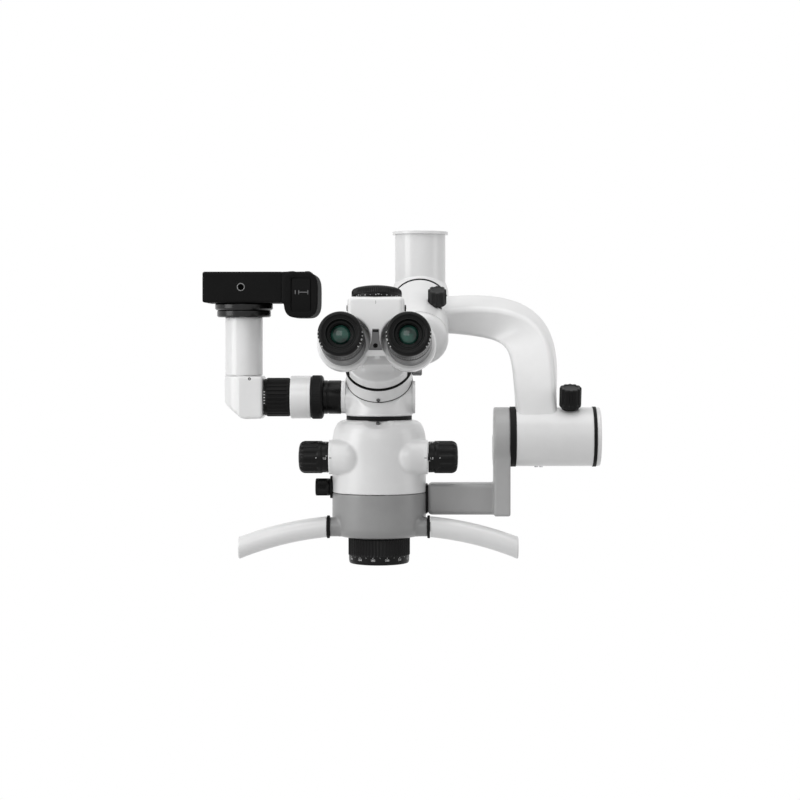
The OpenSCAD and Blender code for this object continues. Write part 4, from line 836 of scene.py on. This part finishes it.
def splitter(P):
    """A waisted body cut off by the inclined joint, with the ports' boss across it."""
    d = keep(s_turned(P, WAIST), s_ball(P, (0, 0, -178), 41), 2.0)
    q = warp(P, shift(0, 0, DOVE_Z) @ turn(45, "X"))
    d = blend(d, s_cyl(q, "Z", (0, 0, -4), 34.6, 4.0, 0.4), 5.0)
    d = blend(d, s_cyl(P, "X", (0, 0, PORT_Z), 17.4, 34.9, 0.5), 4.0)
    return keep(d, q[2], 0.5)


piece("splitter_casting", skin(splitter, (-37, -37, -202), (37, 37, -124), 1.1), HEAD, "head",
      WHITE, ["beam_splitter"], sharp=50)

cap = turned([(0, 35, 0), (17.2, 35, 0.2), (17.2, 38, 0.9), (0, 38, 0)], 0.3)
port = hollow([(13, 35, 0.3), (17.2, 35, 0.3), (17.2, 39.6, 0.5), (13, 39.6, 0.3)], 0.3)
piece("port_rings", join(cap, moved(port, turn(180, "Y"))), PORT, "head", WARM, ["port_caps"])

prof = [(20, 0.5, 0.3), (RING_R, 0.5, 0.7), (RING_R, 17.8, 0.7), (20, 17.8, 0.3)]
piece("inclined_ring", hollow(prof, 0.5, 160), DOVE, "head", WHITE, ["dovetail_ring"])

prof = [(30, -0.9, 0), (34.6, -0.9, 0), (35.0, -0.6, 0.2), (35.0, 0.5, 0.2), (34.6, 0.7, 0),
        (30, 0.7, 0)]
piece("inclined_seam", hollow(prof, 0.2, 160), DOVE, "head", SEAL)

THUMB = DOVE @ shift(RING_R - 8, 0, RING_LOW + RING_HIGH * 0.55) @ turn(90, "Y")
prof = [(0, 0, 0), (2.5, 0, 0.3), (2.5, 8.3, 0), (3.1, 8.4, 0.2), (3.7, 9.0, 0.3), (3.7, 17.6, 0.7),
        (2.6, 18.4, 0.3), (0, 18.4, 0)]
piece("clamp_thumb_screw", turned(prof, 0.2, 144, ribs(24, 0.35, 9.6, 17.4, 0.5), 0.8), THUMB,
      "thumb_screw", DARK_STEEL, ["thumb_screw"])

at = shift(0, -RING_R + 9 - 1.4, RING_LOW + RING_HIGH * 0.22)
piece("ring_lock_screw", moved(socket_screw(4.0, 9.0), at @ turn(90, "X")), DOVE, "head",
      DARK_STEEL, ["lock_screw"])


def knuckle(P):
    """A base on the inclined ring and a web up to the drum of the hinge."""
    base = s_cyl(P, "Z", (0, 0, 24.8), 34.2, 5.4, 1.6)
    base = keep(base, np.abs(P[0]) - 30.2, 1.2)
    web = s_box(P, (0, 0, 38), (15, 18.5, 14), 2.0)
    drum = s_cyl(P, "X", (0, 0, HINGE_LIFT), 19, 15, 1.2)
    d = blend(blend(base, web, 5.0), drum, 2.0)
    d = keep(d, s_cyl(P, "X", (0, 0, 26), 60, 30.2, 0.5), 0.5)
    cheeks = [s_box(P, (x, 0, HINGE_LIFT), (10, 20, 19.4), 0.2) for x in (-25.4, 25.4)]
    return cut(d, *cheeks, s_cyl(P, "X", (0, 0, HINGE_LIFT), 5.05, 40, 0.1))


piece("knuckle_casting", skin(knuckle, (-33, -36, 18), (33, 36, 73), 1.1), DOVE, "head", WHITE,
      ["knuckle"], sharp=50)

# ---- binocular: housing, knob with its scale, oculars, eyepieces
EYE, DROP = 33.35, 6.6
SLIDE_IN, SLIDE_OUT = 5.35, 4.15


def channel(P, s, r, z0, z1):
    """The way an ocular slides in: a slot with round ends."""
    x0, x1 = sorted((s * (EYE - SLIDE_IN), s * (EYE + SLIDE_OUT)))
    qx = P[0] - np.clip(P[0], x0, x1)
    return np.maximum(hyp(qx, P[1] + DROP) - r, np.maximum(z0 - P[2], P[2] - z1))


def housing(P):
    """A box with a back plate, two cheeks on the hinge and the oculars' ways."""
    d = keep(*[s_box(P, (0, 9.5, 48.5), (28.4, 27.5, 28), e) for e in (2.4, 5.0)], 0.1)
    d = blend(d, s_box(P, (0, 2, 23.3), (38, 28, 2.7), 1.0), 2.0)
    for s in (-1, 1):
        cheek = s_cyl(P, "X", (s * 22.25, 0, 0), 19, 6.75, 1.0)
        arm = s_box(P, (s * 22.25, 0, 11), (6.75, 19, 12), 1.0)
        d = blend(d, blend(cheek, arm, 1.0), 1.0)
        d = carve(d, channel(P, s, 27.4, 26.0, 44.9), 0.5)
        d = carve(d, channel(P, s, 22.9, 44.0, 90.0), 1.2)
    pin = s_cyl(P, "X", (0, 0, 0), 5.0, 40, 0.1)
    return cut(d, pin, s_cyl(P, "Y", (0, 37, 50), 4.05, 10.4, 0.1))


piece("binocular_casting", skin(housing, (-40, -28, -20.5), (40, 39, 79), 1.1), EYES, "binocular",
      WHITE, ["binocular_housing"], sharp=50)

# The bridge plate's dark grey is painted shade for the shaded area between the oculars.
plate = [(-3.3, 3.6), (3.3, 3.6), (3.9, -8.0), (6.7, -17.6), (-6.7, -17.6), (-3.9, -8.0)]
rows = [[(x - copysign(inset, x), y - copysign(inset, y + 7), z) for x, y in plate]
        for inset, z in ((0, 76.2), (0, 77.2), (0.3, 77.6))]
piece("bridge_plate", loft(rows), EYES, "binocular", SHADE_AND_MARK_GREY)
# A black sheet stands for the dark inside of the slot: painted shade. The stop is a black screw.
slot_shade_sheet = moved(slab(6.4, 2.0, 0.5, 0.9), shift(0, 1.4, 77.45))
stop = moved(socket_screw(4.6, 1.0, 0.55), shift(0, -13.3, 77.3))
piece("bridge_slot_shade_and_stop", join(slot_shade_sheet, stop), EYES, "binocular", SEAL)
ledge = [(7.2, -17.7), (9.2, -20.4), (11.4, -23.6), (-11.4, -23.6), (-9.2, -20.4), (-7.2, -17.7)]
rows = [[(x * k, -20.6 + (y + 20.6) * k, z) for x, y in ledge]
        for k, z in ((1, 74.4), (1, 76.8), (0.96, 77.3))]
piece("bridge_ledge", loft(rows), EYES, "binocular", WHITE)
piece("scale_index_line", moved(dash(0.35, 3.2), shift(0, 30.6, 76.46)), EYES, "binocular", INK)
button = turned([(0, 0, 0), (3.3, 0, 0), (3.3, 1.6, 0.6), (0, 1.9, 0)], 0.4, 40)
buttons = [moved(button, shift(s * 28.2, 27.6, 58) @ turn(90 * s, "Y")) for s in (-1, 1)]
piece("housing_side_buttons", join(*buttons), EYES, "binocular", KNOB)

R = 25.4
BEVEL_R = R * 0.978
prof = [(0, -10), (4, -10), (4, 0.4), (R * 0.955, 0.4), (R * 0.975, 0.9), (R * 0.98, 3.6)]
prof += [(R, 4.0 + 0.6 * k) for k in range(8)]
prof += [(R - 0.3, 9.2), (R - 1.2, 10.4), (R - 3.4, 11.4), (R - 8, 12.5), (R - 15, 13.2), (0, 13.4)]
piece("pupil_scale_knob", solid_lathe(prof, 480, wave=ribs(80, 0.5, 4.2, 11.6, 0.8)), PD, "pd_knob",
      KNOB, ["pd_knob"])
marks = []
for k in range(-9, 10):
    a = FRONT + radians(k * 13)
    marks.append(on_drum(dash(0.35, 0.8) if k % 2 else dash(0.5, 1.5), BEVEL_R, a, 1.6))
    if k % 4 == 0:
        marks.append(on_drum(glyph(str(66 - k)), BEVEL_R, a + 0.11, 2.2, 1.9))
piece("pupil_scale_marks", join(*marks), PD, "pd_knob", MARK)

CUP_R = 22.42
for s, side in ((-1, "left"), (1, "right")):
    fr = EYES @ shift(s * EYE, -DROP, 0)
    prof = [(12, 26.5, 0), (24, 26.5, 1), (26.9, 29, 2), (27, 42.6, 1.6), (25.2, 44.2, 0.6),
            (22.4, 44.3, 0), (12, 44.3, 0)]
    piece("ocular_fairing_" + side, hollow(prof, 0.5, 128), fr, "ocular_" + side, WHITE,
          ["ocular_" + side])
    piece("ocular_back_" + side, plug(12.6, 27.2, 28.4, 64), fr, "ocular_" + side, WHITE)
    # The barrel's dark grey is painted shade on the tube behind each eyepiece.
    prof = [(12, 44.2), (22.5, 44.2), (22.5, 57.4), (22.1, 57.8), (22.1, 58.6), (22.5, 59.0),
            (22.5, 70.2), (22.2, 70.5), (22.2, 71.1), (22.5, 71.4), (22.5, 78.4), (21.9, 79.0),
            (12, 79.0)]
    piece("ocular_barrel_" + side, lathe(prof, 128), fr, "ocular_" + side, SHADE_AND_MARK_GREY)
    body = [(8.9, 65.6), (11.9, 65.6), (11.9, 79.6), (19.6, 79.6), (21.8, 80.4), (22.1, 82.4),
            (22.1, 84.4)]
    body += [(22.4, 84.8 + 0.9 * k) for k in range(16)]
    body += [(22.1, 98.9), (22.1, 100.6), (22.4, 101.0), (22.4, 109.0), (22.2, 110.6),
             (21.5, 112.2), (20.6, 113.1), (19.6, 113.5), (18.7, 113.4), (18.2, 112.6),
             (17.6, 112.2), (15.8, 112.1), (15.2, 112.6), (14.5, 112.6), (14.0, 111.9),
             (13.2, 110.4), (12.9, 109.2), (12.0, 108.9), (11.2, 108.6), (10.6, 107.6),
             (10.2, 107.4), (10.1, 103.0), (8.9, 103.0)]
    piece("eyepiece_cup_" + side, lathe(body, 336, wave=ribs(56, 0.45, 85.2, 98.4, 0.8)), fr,
          "eyepiece_" + side, ANODISED, ["eyepiece_" + side])
    lens = [(0, 99.0), (8.7, 99.0), (8.7, 103.1), (9.95, 103.2)]
    lens += [(9.95 * cos(t * pi / 24), 103.4 + 3.6 * sin(t * pi / 24)) for t in range(0, 12)]
    lens.append((0, 107.0))
    piece("eye_glass_" + side, solid_lathe(lens, 96), fr, "eyepiece_" + side, EYE_GLASS,
          ["eye_lens_" + side], sharp=50)
    marks = []
    mid = radians(-5 if s > 0 else -175)
    for k in range(-5, 6):
        a = mid + radians(9 * k)
        tick = dash(0.45, 1.6 if k % 5 else 2.6)
        marks += [on_drum(tick, CUP_R, a, 106.2), on_drum(tick, CUP_R, a + pi, 106.2)]
    for k, word in enumerate(("-4", "-2", "0", "+2", "+4")):
        marks.append(on_drum(glyph(word), CUP_R, mid + radians(18 * (k - 2)), 103.2, 2.6))
    for k in range(-2, 3):
        for a in (radians(-16 + 10 * k), radians(196 + 10 * k)):
            wide = 0.025 if k else 0.05
            corners = ((22.3, 110.8, a - wide), (22.3, 110.8, a + wide), (21.2, 112.7, a + wide),
                       (21.2, 112.7, a - wide))
            marks.append(([(r * cos(b), r * sin(b), z) for r, z, b in corners], [(0, 1, 2, 3)]))
    piece("diopter_marks_" + side, join(*marks), fr, "eyepiece_" + side, MARK)

# ---- photo adapter, elbow and camera
prof = [(13, 39.8, 0.2), (17.2, 39.8, 0.2), (17.7, 40.4, 0.3), (17.7, 52.6, 0.3), (17.2, 53.0, 0.2),
        (17.2, 54.0, 0.2), (17.7, 54.4, 0.3), (17.7, 58.0, 0.2), (14.7, 58.0, 0), (14.7, 71.6, 0),
        (13, 71.6, 0)]
piece("adapter_barrel", hollow(prof, 0.3, 128), LEFT, "head", ANODISED, ["adapter_rings"])

low = [(13, 0, 0.2), (26.9, 0, 0.5), (28.2, 1.3, 0.4), (28.2, 6.2, 0.4), (27.4, 7.0, 0.2),
       (13, 7.0, 0)]
high = [(13, 7.2, 0), (28.6, 7.2, 0.3), (30.3, 8.9, 0.5), (30.3, 13.0, 0.5), (29.6, 14.6, 0.3),
        (13, 14.6, 0)]
piece("camera_mount_rings", join(hollow(low, 0.4, 160), hollow(high, 0.4, 160)),
      shift(CAM_X, HEAD_Y, -96.4), "head", GLOSS, ["adapter_rings"])

prof = [(15.2, 58.4, 0), (20.2, 58.4, 0.6), (22.2, 59.4, 0.8), (23, 61.0, 0.6), (23, 69.6, 1.0),
        (21.6, 71.2, 0.5), (15.2, 71.2, 0)]
wave = ribs(80, 0.28, 61.5, 69.4, 1e-3, inner=22.6)
piece("adapter_nut", hollow(prof, 0.5, 480, wave, 0.9, 22.5), LEFT, "coupling_nut", RUBBER,
      ["coupling_nut"])

prof = [(16.9, 93.0), (18.6, 93.0), (19.9, 94.0)]
prof += [(20.3, 95.2 + 1.1 * k) for k in range(20)]
prof += [(20.3, 117.0), (19.6, 118.2), (19.2, 118.6), (19.2, 120.2), (18.8, 120.6), (16.9, 120.6)]
wave = ribs(28, 1.25, 94.6, 117.4, 1.2, 1.6, inner=20.0, land=0.45, power=0.5)
piece("adapter_rib_ring", lathe(prof, 28 * 14, wave), LEFT, "rib_ring", RUBBER, ["rib_ring"])
# The front faces -Y, which is +Y in this frame
marks = [on_drum(dash(0.9, 1.6), 19.25, radians(90 + k * 9), 119.4) for k in range(-2, 3)]
piece("adapter_focus_marks", join(*marks), LEFT, "rib_ring", MARK)

EX = CAM_X - HEAD_X


def elbow(P):
    """The elbow under the camera: an upright tube, a slanted corner, a sleeve to the right."""
    post = s_cyl(P, "Z", (EX, 0, PORT_Z), 20.4, 22, 0.6)
    side = s_box(P, (EX + 8.0, 0, PORT_Z), (12.9, 21.4, 22), 2.2)
    d = keep(blend(post, side, 1.5), s_plane(P, (EX - 20.4, 0, -186.2), (-0.84, 0, -1)), 3.0)
    d = np.minimum(d, s_cyl(P, "Z", (EX, 0, -127.0), 19.6, 30.6, 0.3))
    d = blend(d, s_box(P, (EX + 19.4, 0, -160.2), (1.6, 15, 1.8), 0.5), 0.5)
    d = np.minimum(d, s_cyl(P, "X", (-106.4, 0, PORT_Z), 16.4, 16, 0.3))
    return cut(d, s_cyl(P, "Z", (EX, 0, -110), 13, 30, 0.1))


prof = [(13, 71.6, 0.2), (22.2, 71.6, 0.4), (22.5, 72.4, 0.4), (22.5, 91.8, 0.4), (22.2, 92.6, 0.4),
        (13, 92.6, 0.2)]
white_ring = hollow(prof, 0.3, 128)
form = join(skin(elbow, (-166, -23, -204), (-88, 23, -94.5), 1.1),
            moved(white_ring, HEAD.inverted() @ LEFT))
piece("photo_elbow", form, HEAD, "head", WARM, ["photo_tube"], sharp=50)
piece("elbow_screw", moved(socket_screw(3.0, 1.2), shift(-134.5, -20.4, -160.9) @ turn(90, "X")),
      HEAD, "head", SEAL)

# Left side, front, top and underside; the body's middle; the grip's middle
CL, CF, CT, CAM_Z = -224.2, -148.5, -81.5, -81.6
CZ = CAM_Z + 16
GX, GZ = CL + 84 + 18, CAM_Z + 8


def camera(P):
    """The body and its grip, with the parting lines and the recesses of the moving pieces."""
    body = s_box(P, (CL + 48, HEAD_Y, CZ), (48, 33.5, 16), 2.2)
    grip = s_box(P, (GX, HEAD_Y, GZ), (18, 33.5, 24), 2.0)
    round_grip = (np.abs((P[0] - GX) / 18.0) ** 3.4
                  + np.abs((P[2] - GZ) / 24.0) ** 3.4) ** (1 / 3.4) - 1.0
    grip = keep(grip, 18.0 * round_grip, 1.0)
    d = blend(body, grip, 3.0)
    line = cut(np.abs(P[2] + 54.6) - 0.35, s_box(P, (CL + 43, HEAD_Y, CZ), (42.4, 32.9, 40), 2.0))
    line = np.maximum(line, P[0] - (CL + 82))
    seam = cut(np.abs(P[0] - (CL + 82.4)) - 0.4, s_box(P, (GX, HEAD_Y, GZ), (60, 33.0, 23.4), 2.0))
    screen = s_box(P, (CL + 41, HEAD_Y, CAM_Z + 30.2), (37.4, 25.4, 2.4), 0.6)
    door = s_box(P, (GX, CF, GZ), (10.2, 3.4, 17.2), 0.5)
    socket = s_cyl(P, "Y", (CAM_X, CF, CZ), 3.2, 8, 0.1)
    return cut(d, line, seam, screen, door, socket, s_cyl(P, "Y", (GX, CT, GZ), 4.9, 4.0, 0.1))


piece("camera_shell", skin(camera, (CL - 3, CF - 2, -100), (CL + 123, -79.5, -47.5), 1.15),
      Matrix(), "head", CAM, ["camera_body"], sharp=45)

rim = hollow([(3.2, 0.0, 0), (4.2, 0.0, 0.2), (4.2, 0.5, 0.3), (3.2, 0.5, 0.15)], 0.2, 64)
piece("tripod_ring", rim, shift(CAM_X, CF + 0.1, CZ) @ turn(90, "X"), "head", DARK_STEEL)

piece("battery_door_panel", nosed(20, 2.9, 34), shift(GX, CF + 2.95, GZ) @ turn(90, "X"),
      "battery_door", CAM, ["battery_door"])
strokes = [moved(slab(1.0, 4.4, 0.5, 0.3), shift(x, 2.6, 0)) for x in (-5.6, -2.0, 7.4)]
latch = join(*strokes, moved(slab(8.4, 1.0, 0.4, 0.3), shift(2.7, 2.6, 0)))
piece("battery_door_latch", latch, shift(GX, CF + 0.05, GZ) @ turn(90, "X"), "battery_door",
      SHADE_AND_MARK_GREY)

SC = shift(CL + 41, HEAD_Y, CAM_Z + 32 - 3.8)
piece("screen_frame", moved(nosed(50, 3.6, 74), turn(-90, "Z")), SC, "camera_screen", CAM,
      ["camera_screen"])
piece("screen_pane", slab(66, 44, 0.5, 0.4), SC @ shift(-1, 0, 3.2), "camera_screen", SCREEN)

prof = [(0, -2.4, 0), (4.5, -2.4, 0.3), (4.5, 1.0, 0.6), (3.4, 1.6, 0.5), (0, 1.3, 0)]
piece("shutter_release", turned(prof, 0.4, 64), shift(GX, CT, GZ) @ turn(-90, "X"),
      "shutter_button", ALLOY, ["shutter_button"])

prof = [(0, 0, 0), (8.2, 0, 0), (8.2, 3.6, 0.6), (7.4, 4.0, 0.3), (0, 4.0, 0)]
dial = turned(prof, 0.4, 240, ribs(40, 0.35, -1.0, 3.6, 0.2))
dial = moved(dial, shift(CL + 66, CT, CAM_Z + 15) @ turn(-90, "X"))
shoe = moved(slab(20, 18, 0.8, 0.5), shift(CL + 40, CT, CZ) @ turn(-90, "X"))
piece("camera_top_dial", join(dial, shoe), Matrix(), "head", KNOB)
BACK_Z = CAM_Z + 31.8
wheel = turned([(0, 0, 0), (9.5, 0, 0), (9.5, 1.4, 0.4), (5.2, 1.6, 0.3), (4.6, 1.1, 0.3),
                (0, 1.1, 0)], 0.3)
button = turned([(0, 0, 0), (2.6, 0, 0), (2.6, 1.1, 0.4), (0, 1.2, 0)], 0.3, 40)
spots = ((92, -134), (108, -134), (92, -90), (108, -90))
buttons = [moved(button, shift(CL + x, y, BACK_Z)) for x, y in spots]
piece("camera_rear_controls", join(moved(wheel, shift(CL + 101, -108, BACK_Z)), *buttons), Matrix(),
      "head", KNOB)

# ---- the CAD nodes that stay in view
NODE_LOOKS = {
    WARM: "suspension_tube",
    STEEL: "roll_spindle roll_nut tilt_spindle tilt_nut hinge_pin",
    SEAL: "roll_gasket tilt_seam_ring tilt_gasket pod_ring dovetail_gasket",
    BRONZE: "joint_bushes brake_shoes",
    ALLOY: "pod_chassis led_module zoom_bearings zoom_drum",
    LENS: "drum_lenses head_optics",
    ANODISED: "objective_cell",
}
LOOK_OF = {name: look for look, names in NODE_LOOKS.items() for name in names.split()}
for node_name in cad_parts:
    ob = bpy.data.objects.get(node_name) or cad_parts[node_name]
    look = LOOK_OF.get(node_name, WHITE)
    if not ob.material_slots:
        ob.data.materials.append(look)
    for s in ob.material_slots:
        s.material = look

# ---- floor, light and camera
PURE_WHITE = (1, 1, 1, 1)
AMBIENT = 0.3
FLOOR_Z, FLOOR_R = -0.95, 3.0
WHITE_FROM, WHITE_TO = 0.5, 1.4
SHADOW_SHARE = 0.35


def seen_rays(nt):
    """1 on camera, glossy and transmission rays, 0 on the rays that light the object."""
    path = nt.nodes.new("ShaderNodeLightPath")
    out = path.outputs["Is Camera Ray"]
    for kind in ("Is Glossy Ray", "Is Transmission Ray"):
        out = node(nt, "Math", {}, {0: out, 1: path.outputs[kind]}, "MAXIMUM").outputs[0]
    return out


def studio_world():
    w = bpy.data.worlds.new("studio")
    bpy.context.scene.world = w
    w.use_nodes = True
    nt = w.node_tree
    nt.nodes.clear()
    lit, seen = [node(nt, "Background", {"Color": PURE_WHITE, "Strength": x}).outputs[0]
                 for x in (AMBIENT, 1.0)]
    mix = node(nt, "MixShader", {}, {"Fac": seen_rays(nt), 1: lit, 2: seen})
    node(nt, "OutputWorld", {}, {"Surface": mix.outputs[0]})


def studio_floor():
    """Pale floor: what is seen of it runs out to white, and it still takes a soft shadow."""
    mat, nt, bsdf, coord = nodes_of("floor_pale")
    grain = noise(nt, coord, 14.0, 3.0, 0.5)
    wire(nt, bsdf, {"Roughness": 0.9, "Specular IOR Level": 0.05},
         {"Base Color": ramp(nt, grain, [(0.3, (0.8, 0.8, 0.8)), (0.7, (0.84, 0.84, 0.84))])})
    far = node(nt, "VectorMath", {}, {0: coord.outputs["Object"]}, "LENGTH")
    fade = node(nt, "MapRange", {"From Min": WHITE_FROM, "From Max": WHITE_TO,
                                 "To Min": 1.0 - SHADOW_SHARE, "To Max": 1.0},
                {"Value": far.outputs["Value"]})
    share = node(nt, "Math", {}, {0: fade.outputs["Result"], 1: seen_rays(nt)}, "MULTIPLY")
    glow = node(nt, "Emission", {"Color": PURE_WHITE, "Strength": 1.0})
    links = {"Fac": share.outputs[0], 1: bsdf.outputs[0], 2: glow.outputs[0]}
    mix = node(nt, "MixShader", {}, links)
    out = next(n for n in nt.nodes if n.type == "OUTPUT_MATERIAL")
    wire(nt, out, {}, {"Surface": mix.outputs[0]})
    sides = 96
    me = bpy.data.meshes.new("floor")
    me.from_pydata([(FLOOR_R * cos(TAU * i / sides), FLOOR_R * sin(TAU * i / sides), 0)
                    for i in range(sides)], [], [tuple(range(sides))])
    me.materials.append(mat)
    ob = placed("floor", me, (0, HEAD_Y * MM, FLOOR_Z))


studio_world()
studio_floor()


def softbox(name, at, size, watts):
    """A rectangular lamp that looks at AIM and isn't seen itself."""
    li = bpy.data.lights.new(name, "AREA")
    li.shape = "RECTANGLE"
    li.size, li.size_y = size
    li.energy = watts
    ob = placed(name, li, at)
    ob.rotation_euler = (Vector(AIM) - Vector(at)).to_track_quat("-Z", "Y").to_euler()
    ob.visible_camera = False


AIM = (0.0, -0.1, -0.18)
softbox("left_box", (-1.5, -0.9, 0.35), (0.9, 1.5), 15)
softbox("right_box", (1.7, -0.5, 0.25), (0.7, 1.4), 5)
softbox("top_box", (0.0, -0.5, 1.3), (1.6, 1.2), 11)
softbox("front_box", (-0.5, -2.6, 0.9), (1.2, 1.0), 8)

cam = bpy.data.cameras.new("photo_camera")
cam.lens = 85.5
cam.sensor_width = 36.0
cam.shift_x, cam.shift_y = -0.05, -0.06875
cam.clip_start, cam.clip_end = 0.01, 50
cob = placed("photo_camera", cam, (0.022, -2.115, -0.1256))
cob.rotation_euler = (radians(90), 0, 0)
bpy.context.scene.camera = cob
bpy.context.scene.view_settings.view_transform = "Standard"
